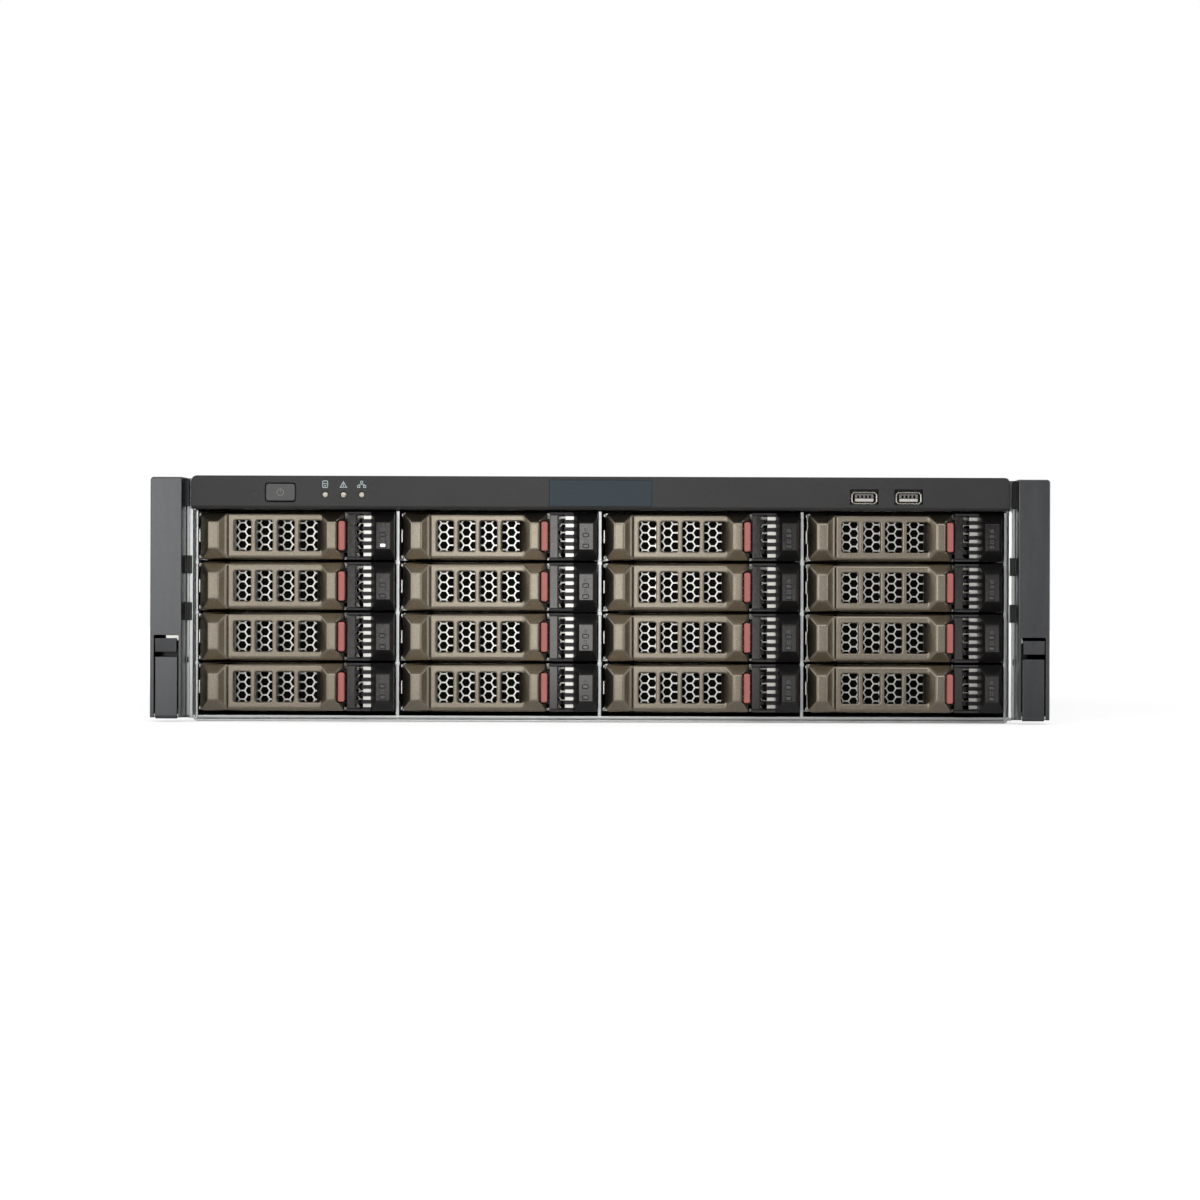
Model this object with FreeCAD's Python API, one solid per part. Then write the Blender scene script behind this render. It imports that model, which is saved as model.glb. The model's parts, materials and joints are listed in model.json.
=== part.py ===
import FreeCAD, Part
import math
import os

# A rack-mounted network video recorder, three rack units high, with sixteen drive trays in four columns.
# Millimetres. X runs to the right as seen from the front, Y to the rear and Z up.
# The origin is the middle of the footprint, on the surface that the chassis stands on.

# Drives and bays
columns = 4
rows = 4
bay_pitch_x = 109.2
bay_pitch_z = 27.2
first_bay_floor = 5.0
drive_width = 101.6
drive_length = 147.0
drive_height = 26.1
drive_lid_step = 4.0
drive_lid_inset = 1.5
drive_setback = 5.0
tray_gap = 1.0

# Sheet steel
sheet = 1.2
divider = 1.5
side_plate = 1.15
ledge_thickness = 1.2
ledge_front_gap = 18.0
ledge_rear_gap = 8.0
front_lip_height = 3.2
top_flange = 9.0
cover_flange_depth = 10.0
bracket_sheet = 1.8
bracket_lead = 2.0
bracket_lip = 3.7
bracket_leg = 62.0
bracket_trim = 1.5

# Clearances, and how far a cutting tool reaches past the face that it cuts
running_gap = 0.3
hinge_clearance = 0.05
button_clearance = 0.25
cutout_clearance = 0.4
overcut = 1.0

# Tray sled, seen from its left edge
rail = 1.7
rail_height = 20.0
rail_tail = 3.0
grille_sheet = 0.8
spring_tab_reach = 0.8
spring_tab_height = 7.6
spring_tab_lead = 4.0
spring_tab_length = 12.0

# Tray lever: a bar with a raised lug at each end and a lowered panel with windows between them
lever_edge_gap = 0.3
lever_length = 77.8
lever_thickness = 9.0
lever_trim = 0.1
facet_width = 4.1
facet_depth = 6.4
lug_half_height = 7.1
left_lug = 5.5
right_lug = 4.9
lug_slope = 3.8
panel_drop = 4.6
scoop_run = 6.9
window_count = 4
window_bar = 2.3
window_margin = 4.8
window_half_height = 8.1

# Lever hinge
hinge_inset = 4.9
hinge_depth = 7.5
hinge_pin_radius = 1.25
hinge_boss_radius = 2.7
hinge_boss_half = 7.5
hinge_ear_radius = 2.2
hinge_ear_thickness = 3.0
hinge_spine = 2.0
hinge_spine_reach = 4.0

# Release button at the right end of the lever
release_width = 3.8
release_half_height = 7.9
release_overlap = 3.3
release_setback = 1.5
release_length = 11.0
guide_gap = 0.5
guide_wall = 0.9

# Tray bezel to the right of the lever
bezel_block_width = 12.5
block_left_slope = 3.2
block_right_slope = 1.8
block_slope_depth = 3.0
vent_setback = 7.0
vent_plate = 2.0
vent_rim = 1.6
vent_rim_setback = 4.0
vent_slots = 6
vent_slot_height = 2.2
vent_slot_pitch = 4.0
vent_slot_length = 8.4
vent_rib_setback = 3.0

# Stations along the depth, counted from the front edge of the chassis
ear_reach = 14.0
lever_reach = 9.0
front_bezel_reach = 10.0
grille_setback = 15.0
socket_gap = 0.4
socket_depth = 6.0
socket_width = 42.0
socket_height = 6.0
socket_rise = 4.0
backplane_thickness = 2.0
air_slot_width = 80.0
air_slot_height = 6.0
air_slot_rise = 15.0
cable_space = 34.0
fan_size = 80.0
fan_depth = 38.0
fan_count = 4
fan_pitch = 100.0
board_space = 16.0
board_depth = 244.0
connector_reach = 0.8

# Front bezel above the bays
top_space = 18.7
bezel_gap = 0.6
bezel_side_gap = 0.6
bezel_top_gap = 0.2
bezel_wall = 2.2
bezel_corner = 3.0
bezel_chamfer = 1.5
power_x = -172.0
power_width = 16.0
power_height = 9.4
power_corner = 1.6
power_proud = 0.6
power_travel = 1.5
power_flange = 1.2
power_flange_depth = 1.5
indicator_first_x = -148.0
indicator_pitch = 9.8
indicator_count = 3
indicator_radius = 1.55
indicator_body = 3.8
plate_width = 55.4
plate_height = 14.4
plate_depth = 0.8
usb_first_x = 141.7
usb_pitch = 23.8
usb_count = 2
usb_width = 13.2
usb_height = 5.8
usb_depth = 17.0
usb_shell = 0.5
usb_tongue = 1.9
usb_margin = 0.9
io_board_thickness = 1.6
io_board_depth = 32.0
io_board_overhang = 12.0
io_standoff_radius = 2.5

# Rack ears and their flaps
ear_width = 21.3
ear_depth = 24.0
ear_wall = 2.0
ear_bottom = 2.2
ear_top_gap = 1.2
ear_chamfer = 0.9
ear_slope = 6.0
flap_width = 11.8
flap_edge = 2.85
flap_top = 34.8
flap_thickness = 3.0
flap_recess = 0.2
flap_side_gap = 0.7
flap_pin_radius = 1.0
flap_barrel_radius = 1.9
flap_axis_height = 3.5
window_top = 46.4
scoop_top = 44.6
scoop_bottom = 37.0
scoop_setback = 1.0
scoop_slope = 6.0
scoop_wall = 2.0
rack_hole_height = 21.8
rack_hole_radius = 3.4
clip_height = 9.7
clip_depth = 3.6
clip_reach = 3.4
clip_levels = (54.4, 79.6)

# Mounting holes for slide rails in the side walls
rail_hole_radius = 2.1
rail_hole_pitch_y = 180.0
rail_hole_pitch_z = 40.0
rail_hole_first = 230.0

# Fan wall
fan_bore = 37.5
fan_hub_radius = 17.0
fan_strut = 3.0
fan_rotor_gap = 0.5
fan_blades = 7
fan_blade_thickness = 1.6
fan_blade_pitch = 40.0
fan_tip_gap = 1.5

# System board at the rear right
board_right_gap = 4.0
board_supply_gap = 10.6
board_thickness = 1.6
standoff_height = 6.5
standoff_radius = 3.0
heatsink_size = 70.0
heatsink_height = 38.0
heatsink_base = 6.0
heatsink_fins = 9
heatsink_slot = 5.0
memory_length = 133.0
memory_thickness = 5.0
memory_height = 31.0
memory_pitch = 10.0
memory_count = 2
connector_depth = 21.0

# Power supply at the rear left
supply_width = 150.0
supply_depth = 160.0
supply_height = 86.0
supply_left_gap = 5.0
inlet_width = 25.0
inlet_height = 18.0
inlet_depth = 15.0
inlet_edge = 24.0
inlet_rise = 46.0
inlet_pin_width = 4.0
inlet_pin_thickness = 2.0
inlet_pin_length = 12.0
inlet_pin_pitch = 7.0
inlet_pin_drop = 1.0
inlet_earth_drop = 2.0
inlet_rim = 1.75
core_size = 52.0
core_height = 44.0

# Rear panel: vent slots in a plate of their own, and the margins of its three openings
vent_margin = 5.0
shield_margin = 4.0
supply_rim = 4.0
rear_slot_width = 46.0
rear_slot_height = 4.0
rear_slot_pitch_x = 52.0
rear_slot_pitch_z = 8.0
rear_slot_rows = 7
rear_slot_rise = 48.0
supply_slot_gap = 17.0

# Widths and heights that follow from the values above
tray_width = drive_width + 2 * rail
tray_height = bay_pitch_z - tray_gap
tray_left = -tray_width / 2
tray_right = tray_width / 2
tray_mid = bay_pitch_z / 2
tray_side_gap = (bay_pitch_x - divider - tray_width) / 2
cage_half = columns * bay_pitch_x / 2 - divider / 2
inner_half = cage_half + side_plate
chassis_half = inner_half + sheet
rack_half = chassis_half + ear_width
cage_top = first_bay_floor + rows * bay_pitch_z
chassis_height = cage_top + top_space
wall_top = chassis_height - sheet
ledge_reach = tray_side_gap + rail - running_gap

# Depths that follow from the values above
tray_depth = grille_setback + grille_sheet + drive_setback + drive_length
cage_depth = tray_depth - lever_reach + socket_gap + socket_depth
fan_wall_setback = cage_depth + backplane_thickness + cable_space
chassis_depth = fan_wall_setback + sheet + fan_depth + board_space + board_depth + sheet
overall_depth = ear_reach + chassis_depth + connector_reach
ear_front = -overall_depth / 2
chassis_front = ear_front + ear_reach
chassis_rear = chassis_front + chassis_depth
lever_front = chassis_front - lever_reach
lever_back = lever_front + lever_thickness
grille_front = lever_front + grille_setback
drive_front = grille_front + grille_sheet + drive_setback
drive_rear = drive_front + drive_length
backplane_front = chassis_front + cage_depth
backplane_rear = backplane_front + backplane_thickness
fan_wall_front = chassis_front + fan_wall_setback
panel_front = chassis_rear - sheet
flange_front = ear_front + ear_depth
rail_hole_y = chassis_front + rail_hole_first
rail_hole_z = (chassis_height - rail_hole_pitch_z) / 2

# Places on the lever
lever_half = tray_height / 2 - lever_trim
lever_left = tray_left + lever_edge_gap
lever_right = lever_left + lever_length
lever_base = lever_front + facet_depth
panel_y = lever_front + panel_drop
panel_left = lever_left + facet_width + left_lug + lug_slope
right_lug_end = lever_right - facet_width
right_lug_start = right_lug_end - right_lug
scoop_back = right_lug_start - scoop_run
hinge_x = lever_left + hinge_inset
hinge_y = lever_front + hinge_depth
release_left = lever_right - release_overlap
release_right = release_left + release_width
block_left = tray_right - bezel_block_width
vent_left = release_right + guide_wall

# Places on the front bezel and the rear panel
bezel_front = chassis_front - front_bezel_reach
bezel_bottom = cage_top + bezel_gap
bezel_top = chassis_height - bezel_top_gap
bezel_half = chassis_half - bezel_side_gap
bezel_mid = (bezel_bottom + bezel_top) / 2
io_board_bottom = cage_top + sheet + io_board_thickness
io_board_top = io_board_bottom + io_board_thickness
usb_mid = io_board_top + usb_height / 2
supply_left = -inner_half + supply_left_gap
supply_right = supply_left + supply_width
supply_top = sheet + supply_height
inlet_left = supply_right - inlet_edge - inlet_width
board_left = supply_right + board_supply_gap
board_right = inner_half - board_right_gap
board_width = board_right - board_left
board_bottom = sheet + standoff_height
board_top = board_bottom + board_thickness
rear_slot_gap = rear_slot_pitch_x - rear_slot_width
rear_slot_columns = int((board_width - 2 * vent_margin + rear_slot_gap) // rear_slot_pitch_x)

# Kinds of rear connector: width, height, then width, height and depth of the mouth, and the tongue in it
CONNECTOR_KINDS = {
    "network": (16.0, 13.5, 11.8, 8.6, 12.0, 0.0),
    "video": (15.2, 6.6, 13.6, 4.2, 8.0, 1.4),
    "screen": (30.8, 12.5, 16.4, 7.8, 1.5, 0.0),
    "data": (14.5, 7.2, 12.4, 5.0, 9.0, 1.9),
    "alarm": (76.0, 11.0, 72.0, 7.0, 8.0, 0.0),
}
CONNECTOR_ROW = ("network",) * 4 + ("video",) * 2 + ("screen", "data", "alarm")
connector_room = board_width - sum(CONNECTOR_KINDS[kind][0] for kind in CONNECTOR_ROW)
connector_gap = connector_room / (len(CONNECTOR_ROW) + 1)

X_AXIS = FreeCAD.Vector(1, 0, 0)
Y_AXIS = FreeCAD.Vector(0, 1, 0)
Z_AXIS = FreeCAD.Vector(0, 0, 1)
ORIGIN = FreeCAD.Vector(0, 0, 0)


def point(x, y, z):
    return FreeCAD.Vector(x, y, z)


def block(x0, x1, y0, y1, z0, z1):
    """A box between two opposite corners."""
    return Part.makeBox(x1 - x0, y1 - y0, z1 - z0, point(x0, y0, z0))


def face_of(corners):
    return Part.Face(Part.makePolygon(corners + corners[:1]))


def upright(outline, z0, z1):
    """A plan outline in X and Y, raised in Z."""
    return face_of([point(x, y, z0) for x, y in outline]).extrude(Z_AXIS * (z1 - z0))


def crosswise(outline, x0, x1):
    """A side outline in Y and Z, drawn out in X."""
    return face_of([point(x0, y, z) for y, z in outline]).extrude(X_AXIS * (x1 - x0))


def lengthwise(outline, y0, y1):
    """A front outline in X and Z, drawn out in Y."""
    return face_of([point(x, y0, z) for x, z in outline]).extrude(Y_AXIS * (y1 - y0))


def rod(start, radius, length, axis):
    return Part.makeCylinder(radius, length, start, axis)


def joined(first, *others):
    return first.fuse(list(others)).removeSplitter()


def mirrored(shape):
    """The same piece on the other side of the chassis."""
    return shape.mirror(ORIGIN, X_AXIS)


def moved(shape, x, y, z):
    copy = shape.copy()
    copy.translate(point(x, y, z))
    return copy


def bay_place(column, row):
    """Middle and floor of a bay; row 0 is the top row."""
    x = (column - (columns - 1) / 2) * bay_pitch_x
    z = first_bay_floor + (rows - 1 - row) * bay_pitch_z
    return x, z


def bays():
    return [(column, row) for row in range(rows) for column in range(columns)]


def export(name, *shapes):
    solids = [solid for shape in shapes for solid in shape.Solids]
    whole = solids[0] if len(solids) == 1 else Part.makeCompound(solids)
    whole.exportStep(f"parts/{name}.step")


# The tray pieces are drawn for a bay whose middle is X 0 and whose floor is Z 0


def bar_section(back):
    """Side outline shared by the lever and the bezel block: a bar with sloped top and bottom."""
    return [
        (back, tray_mid - lever_half),
        (lever_base, tray_mid - lever_half),
        (lever_front, tray_mid - lug_half_height),
        (lever_front, tray_mid + lug_half_height),
        (lever_base, tray_mid + lever_half),
        (back, tray_mid + lever_half),
    ]


def scoop_x(y):
    """Where the sloped wall of the finger scoop stands at a given depth."""
    return right_lug_start - scoop_run * (y - lever_front) / lever_thickness


def lever_windows():
    first = panel_left + window_margin
    span = scoop_back - first
    width = (span - (window_count - 1) * window_bar) / window_count
    low = tray_mid - window_half_height
    high = tray_mid + window_half_height
    over = panel_y - overcut
    under = lever_back + overcut
    cuts = []
    for index in range(window_count - 1):
        left = first + index * (width + window_bar)
        cuts.append(block(left, left + width, over, under, low, high))
    last = first + (window_count - 1) * (width + window_bar)
    outline = [(last, over), (scoop_x(over), over), (scoop_x(under), under), (last, under)]
    cuts.append(upright(outline, low, high))
    return cuts


def hinge_slots():
    """Room in the left lug for the two hinge ears, open to the rear and to the left."""
    room = hinge_ear_radius + running_gap
    outline = [
        (hinge_x + room, lever_back + overcut),
        (hinge_x + room, hinge_y - room),
        (hinge_x - room, hinge_y - room),
        (lever_left - overcut, hinge_y + running_gap),
        (lever_left - overcut, lever_back + overcut),
    ]
    near = hinge_boss_half
    far = hinge_boss_half + hinge_ear_thickness + 2 * running_gap
    upper = upright(outline, tray_mid + near, tray_mid + far)
    lower = upright(outline, tray_mid - far, tray_mid - near)
    return [upper, lower]


def lever():
    outline = [
        (lever_left, lever_back),
        (lever_left, lever_base),
        (lever_left + facet_width, lever_front),
        (panel_left - lug_slope, lever_front),
        (panel_left, panel_y),
        (scoop_x(panel_y), panel_y),
        (right_lug_start, lever_front),
        (right_lug_end, lever_front),
        (lever_right, lever_base),
        (lever_right, lever_back),
    ]
    bar = upright(outline, tray_mid - lever_half, tray_mid + lever_half)
    bar = bar.common(crosswise(bar_section(lever_back), lever_left, lever_right))
    boss_bottom = point(hinge_x, hinge_y, tray_mid - hinge_boss_half)
    boss = rod(boss_bottom, hinge_boss_radius, 2 * hinge_boss_half, Z_AXIS)
    bore = rod(boss_bottom, hinge_pin_radius + hinge_clearance, 2 * hinge_boss_half, Z_AXIS)
    notch_half = release_half_height + running_gap
    notch = block(
        release_left - running_gap,
        lever_right + overcut,
        lever_front - overcut,
        lever_back + overcut,
        tray_mid - notch_half,
        tray_mid + notch_half,
    )
    return joined(bar.cut(hinge_slots()), boss).cut([bore, notch] + lever_windows())


def hinge_bracket():
    """Two ears and the spine that fixes them to the sled."""
    inner = hinge_boss_half + running_gap
    outer = inner + hinge_ear_thickness
    spine_front = grille_front - hinge_spine
    pieces = []
    for low in (tray_mid + inner, tray_mid - outer):
        high = low + hinge_ear_thickness
        pieces.append(rod(point(hinge_x, hinge_y, low), hinge_ear_radius, high - low, Z_AXIS))
        ear_left = hinge_x - hinge_ear_radius
        ear_right = hinge_x + hinge_ear_radius
        pieces.append(block(ear_left, ear_right, hinge_y, grille_front, low, high))
    pieces.append(
        block(
            hinge_x - hinge_ear_radius,
            hinge_x + hinge_ear_radius + hinge_spine_reach,
            spine_front,
            grille_front,
            tray_mid - outer,
            tray_mid + outer,
        )
    )
    seat = rod(point(hinge_x, hinge_y, tray_mid - outer), hinge_pin_radius, 2 * outer, Z_AXIS)
    return joined(*pieces).cut(seat)


def hinge_pin():
    half = hinge_boss_half + running_gap + hinge_ear_thickness
    return rod(point(hinge_x, hinge_y, tray_mid - half), hinge_pin_radius, 2 * half, Z_AXIS)


def sled():
    """Folded steel: a front plate behind the lever and a rail along each side of the drive."""
    low = tray_gap / 2
    rail_low = 2 * running_gap + ledge_thickness
    rail_rear = drive_rear - rail_tail
    plate = block(tray_left, tray_right, grille_front, grille_front + grille_sheet, low, low + tray_height)
    left = block(tray_left, tray_left + rail, grille_front, rail_rear, rail_low, rail_low + rail_height)
    right = block(tray_right - rail, tray_right, grille_front, rail_rear, rail_low, rail_low + rail_height)
    return joined(plate, left, right)


def contact_spring():
    """Bent steel strip on the outside of the left rail that touches the next divider."""
    return block(
        tray_left - spring_tab_reach,
        tray_left,
        grille_front - spring_tab_lead,
        grille_front + spring_tab_length,
        tray_mid - spring_tab_height / 2,
        tray_mid + spring_tab_height / 2,
    )


def drive():
    """A full-height drive: a cast body with a stepped lid."""
    low = tray_gap / 2
    left = -drive_width / 2
    right = drive_width / 2
    body_top = low + drive_height - drive_lid_step
    body = block(left, right, drive_front, drive_rear, low, body_top)
    lid = block(
        left + drive_lid_inset,
        right - drive_lid_inset,
        drive_front + drive_lid_inset,
        drive_rear - drive_lid_inset,
        body_top,
        low + drive_height,
    )
    return joined(body, lid)


def tray_bezel():
    """Vented moulding with the guide of the release button on its left and a raised block on its right."""
    outline = [
        (block_left, grille_front),
        (block_left, lever_base),
        (block_left + block_left_slope, lever_front),
        (tray_right - block_right_slope, lever_front),
        (tray_right, lever_front + block_slope_depth),
        (tray_right, grille_front),
    ]
    low = tray_mid - lever_half
    high = tray_mid + lever_half
    raised = upright(outline, low, high).common(crosswise(bar_section(grille_front), block_left, tray_right))
    vent_front = lever_front + vent_setback
    slot_left = block_left - vent_slot_length
    rib_front = vent_front + vent_rib_setback
    rib_rear = rib_front + vent_plate
    vent = block(vent_left, slot_left, vent_front, rib_rear, low, high)
    ribs = block(slot_left, block_left, rib_front, rib_rear, low, high)
    rim_front = lever_front + vent_rim_setback
    upper = block(vent_left, block_left, rim_front, grille_front, high - vent_rim, high)
    lower = block(vent_left, block_left, rim_front, grille_front, low, low + vent_rim)
    guide_half = release_half_height + button_clearance + guide_wall
    guide = block(
        release_left - button_clearance - guide_wall,
        vent_left + guide_wall,
        lever_back + guide_gap,
        grille_front,
        tray_mid - guide_half,
        tray_mid + guide_half,
    )
    web = block(vent_left, vent_left + guide_wall, vent_front, grille_front, low, high)
    slot = block(
        release_left - button_clearance,
        release_right + button_clearance,
        lever_front,
        grille_front,
        tray_mid - release_half_height - button_clearance,
        tray_mid + release_half_height + button_clearance,
    )
    cuts = [slot]
    first = tray_mid - (vent_slots - 1) * vent_slot_pitch / 2
    for index in range(vent_slots):
        middle = first + index * vent_slot_pitch
        cuts.append(
            block(
                slot_left,
                block_left,
                rib_front - overcut,
                rib_rear + overcut,
                middle - vent_slot_height / 2,
                middle + vent_slot_height / 2,
            )
        )
    return joined(raised, vent, ribs, upper, lower, guide, web).cut(cuts)


def release_button():
    """A narrow upright key with a rounded front."""
    front = lever_front + release_setback
    rear = front + release_length
    radius = release_width / 2
    middle = (release_left + release_right) / 2
    low = tray_mid - release_half_height
    nose = front + radius
    arc = Part.Arc(point(release_left, nose, low), point(middle, front, low), point(release_right, nose, low))
    sides = Part.makePolygon(
        [
            point(release_right, nose, low),
            point(release_right, rear, low),
            point(release_left, rear, low),
            point(release_left, nose, low),
        ]
    )
    outline = Part.Wire([arc.toShape()] + sides.Edges)
    return Part.Face(outline).extrude(Z_AXIS * (2 * release_half_height))


def export_trays():
    tray_pieces = [sled(), contact_spring(), tray_bezel(), hinge_bracket(), hinge_pin(), drive()]
    one_lever = lever()
    one_button = release_button()
    for column, row in bays():
        x, z = bay_place(column, row)
        tag = f"r{row + 1}c{column + 1}"
        export(f"tray_{tag}", *[moved(piece, x, 0, z) for piece in tray_pieces])
        export(f"lever_{tag}", moved(one_lever, x, 0, z))
        export(f"button_{tag}", moved(one_button, x, 0, z))


# Chassis


def pan():
    """Floor and two side walls folded from one sheet, with a turned-in flange along the top."""
    outline = [
        (-chassis_half, 0),
        (chassis_half, 0),
        (chassis_half, wall_top),
        (chassis_half - top_flange, wall_top),
        (chassis_half - top_flange, wall_top - sheet),
        (inner_half, wall_top - sheet),
        (inner_half, sheet),
        (-inner_half, sheet),
        (-inner_half, wall_top - sheet),
        (-chassis_half + top_flange, wall_top - sheet),
        (-chassis_half + top_flange, wall_top),
        (-chassis_half, wall_top),
    ]
    folded = lengthwise(outline, chassis_front, chassis_rear)
    lip = block(-inner_half, inner_half, chassis_front, chassis_front + sheet, sheet, front_lip_height)
    holes = []
    for y in (rail_hole_y, rail_hole_y + rail_hole_pitch_y):
        for z in (rail_hole_z, rail_hole_z + rail_hole_pitch_z):
            start = point(-chassis_half - overcut, y, z)
            holes.append(rod(start, rail_hole_radius, 2 * (chassis_half + overcut), X_AXIS))
    return joined(folded, lip).cut(holes)


def partition(x0, x1, sides):
    """An upright plate of the drive cage with a ledge for each row on the sides named."""
    pieces = [block(x0, x1, chassis_front + sheet, backplane_front, sheet, cage_top)]
    for row in range(rows):
        low = bay_place(0, row)[1] + running_gap
        high = low + ledge_thickness
        front = chassis_front + ledge_front_gap
        rear = backplane_front - ledge_rear_gap
        if "left" in sides:
            pieces.append(block(x0 - ledge_reach, x0, front, rear, low, high))
        if "right" in sides:
            pieces.append(block(x1, x1 + ledge_reach, front, rear, low, high))
    return joined(*pieces)


def cage():
    plates = []
    for index in range(1, columns):
        x = (index - columns / 2) * bay_pitch_x
        plates.append(partition(x - divider / 2, x + divider / 2, ("left", "right")))
    right_side = partition(cage_half, inner_half, ("left",))
    lid = block(-inner_half, inner_half, chassis_front, backplane_rear, cage_top, cage_top + sheet)
    return plates + [right_side, mirrored(right_side), lid]


def ear_bracket():
    """Steel angle on the right wall: a leg with a lip at its front, and a flange that meets the rack."""
    low = bracket_trim
    high = chassis_height - bracket_trim
    leg = block(
        chassis_half,
        chassis_half + bracket_sheet,
        chassis_front - bracket_lead,
        chassis_front + bracket_leg,
        low,
        high,
    )
    lip = block(
        chassis_half,
        chassis_half + bracket_lip,
        chassis_front - bracket_lead,
        chassis_front - bracket_lead + bracket_sheet,
        low,
        high,
    )
    flange = block(chassis_half, rack_half, flange_front, flange_front + bracket_sheet, low, high)
    start = point(rack_half - rack_hole_inset(), flange_front - overcut, rack_hole_height)
    hole = rod(start, rack_hole_radius, bracket_sheet + 2 * overcut, Y_AXIS)
    return joined(leg, lip, flange).cut(hole)


def flap_span():
    right = rack_half - flap_edge
    return right - flap_width, right


def rack_hole_inset():
    left, right = flap_span()
    return rack_half - (left + right) / 2


def connector_places():
    """Kind, left edge, right edge and top of each rear connector."""
    places = []
    left = board_left + connector_gap
    for kind in CONNECTOR_ROW:
        width, height = CONNECTOR_KINDS[kind][:2]
        places.append((kind, left, left + width, board_top + height))
        left += width + connector_gap
    return places


def vent_span():
    """Left, right, bottom and top of the vented plate in the rear panel."""
    left = board_left - vent_margin
    right = board_left + (rear_slot_columns - 1) * rear_slot_pitch_x + rear_slot_width + vent_margin
    low = rear_slot_rise - vent_margin
    high = rear_slot_rise + (rear_slot_rows - 1) * rear_slot_pitch_z + rear_slot_height + vent_margin
    return left, right, low, high


def shield_span():
    """Left, right, bottom and top of the plate around the connectors."""
    places = connector_places()
    left = places[0][1] - shield_margin
    right = places[-1][2] + shield_margin
    low = board_bottom - shield_margin
    high = max(place[3] for place in places) + shield_margin
    return left, right, low, high


def supply_span():
    """Left, right, bottom and top of the opening that shows the power supply."""
    return supply_left + supply_rim, supply_right - supply_rim, sheet + supply_rim, supply_top - supply_rim


def panel_plate(span, over):
    """A plate in the plane of the rear panel, or with an overcut the tool that cuts its opening."""
    left, right, low, high = span
    return block(left, right, panel_front - over, chassis_rear + over, low, high)


def rear_panel():
    """Rear wall with one opening each for the power supply, the vented plate and the connectors."""
    plate = panel_plate((-inner_half, inner_half, sheet, wall_top - sheet), 0)
    return plate.cut([panel_plate(span, overcut) for span in (supply_span(), vent_span(), shield_span())])


def rear_vent():
    cuts = []
    for column in range(rear_slot_columns):
        left = board_left + column * rear_slot_pitch_x
        right = left + rear_slot_width
        for row in range(rear_slot_rows):
            low = rear_slot_rise + row * rear_slot_pitch_z
            cuts.append(panel_plate((left, right, low, low + rear_slot_height), overcut))
    return panel_plate(vent_span(), 0).cut(cuts)


def connector_shield():
    cuts = []
    for _, left, right, top in connector_places():
        span = (
            left - cutout_clearance,
            right + cutout_clearance,
            board_top - cutout_clearance,
            top + cutout_clearance,
        )
        cuts.append(panel_plate(span, overcut))
    return panel_plate(shield_span(), 0).cut(cuts)


def top_cover():
    plate = block(-chassis_half, chassis_half, chassis_front, chassis_rear, wall_top, chassis_height)
    inside = chassis_half - top_flange
    low = wall_top - cover_flange_depth
    right = block(inside - sheet, inside, chassis_front, panel_front - sheet, low, wall_top)
    lip = block(sheet - inside, inside - sheet, panel_front, chassis_rear, wall_top - sheet, wall_top)
    return joined(plate, right, mirrored(right), lip)


# Front bezel, its button and the board behind it


def front_bezel():
    """Hollow moulding across the front, open at the back, with a recess for the plain plate."""
    outline = [
        (chassis_front, bezel_bottom),
        (bezel_front + bezel_chamfer, bezel_bottom),
        (bezel_front, bezel_bottom + bezel_chamfer),
        (bezel_front, bezel_top - bezel_chamfer),
        (bezel_front + bezel_chamfer, bezel_top),
        (chassis_front, bezel_top),
    ]
    solid = crosswise(outline, -bezel_half, bezel_half)
    corners = [
        edge
        for edge in solid.Edges
        if abs(abs(edge.CenterOfMass.x) - bezel_half) < 1e-6
        and abs(edge.CenterOfMass.z - bezel_top) < 1e-6
    ]
    solid = solid.makeFillet(bezel_corner, corners)
    hollow = block(
        -bezel_half + bezel_wall,
        bezel_half - bezel_wall,
        bezel_front + bezel_wall,
        chassis_front,
        bezel_bottom + bezel_wall,
        bezel_top - bezel_wall,
    )
    through = bezel_front - overcut
    depth = bezel_wall + 2 * overcut
    cuts = [hollow]
    half_width = power_width / 2 + button_clearance
    half_height = power_height / 2 + button_clearance
    cuts.append(
        block(
            power_x - half_width,
            power_x + half_width,
            through,
            through + depth,
            bezel_mid - half_height,
            bezel_mid + half_height,
        )
    )
    for x in indicator_places():
        cuts.append(rod(point(x, through, bezel_mid), indicator_radius + hinge_clearance, depth, Y_AXIS))
    for x in usb_places():
        cuts.append(
            block(
                x - usb_width / 2 - usb_margin,
                x + usb_width / 2 + usb_margin,
                through,
                through + depth,
                usb_mid - usb_height / 2 - usb_margin,
                usb_mid + usb_height / 2 + usb_margin,
            )
        )
    cuts.append(plain_plate())
    return solid.cut(cuts)


def plain_plate():
    return block(
        -plate_width / 2,
        plate_width / 2,
        bezel_front,
        bezel_front + plate_depth,
        bezel_mid - plate_height / 2,
        bezel_mid + plate_height / 2,
    )


def indicator_places():
    return [indicator_first_x + index * indicator_pitch for index in range(indicator_count)]


def usb_places():
    return [usb_first_x + index * usb_pitch for index in range(usb_count)]


def power_switch_front():
    """Front of the switch that the button's stem meets at the end of its travel."""
    return chassis_front + power_travel + running_gap


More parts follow.
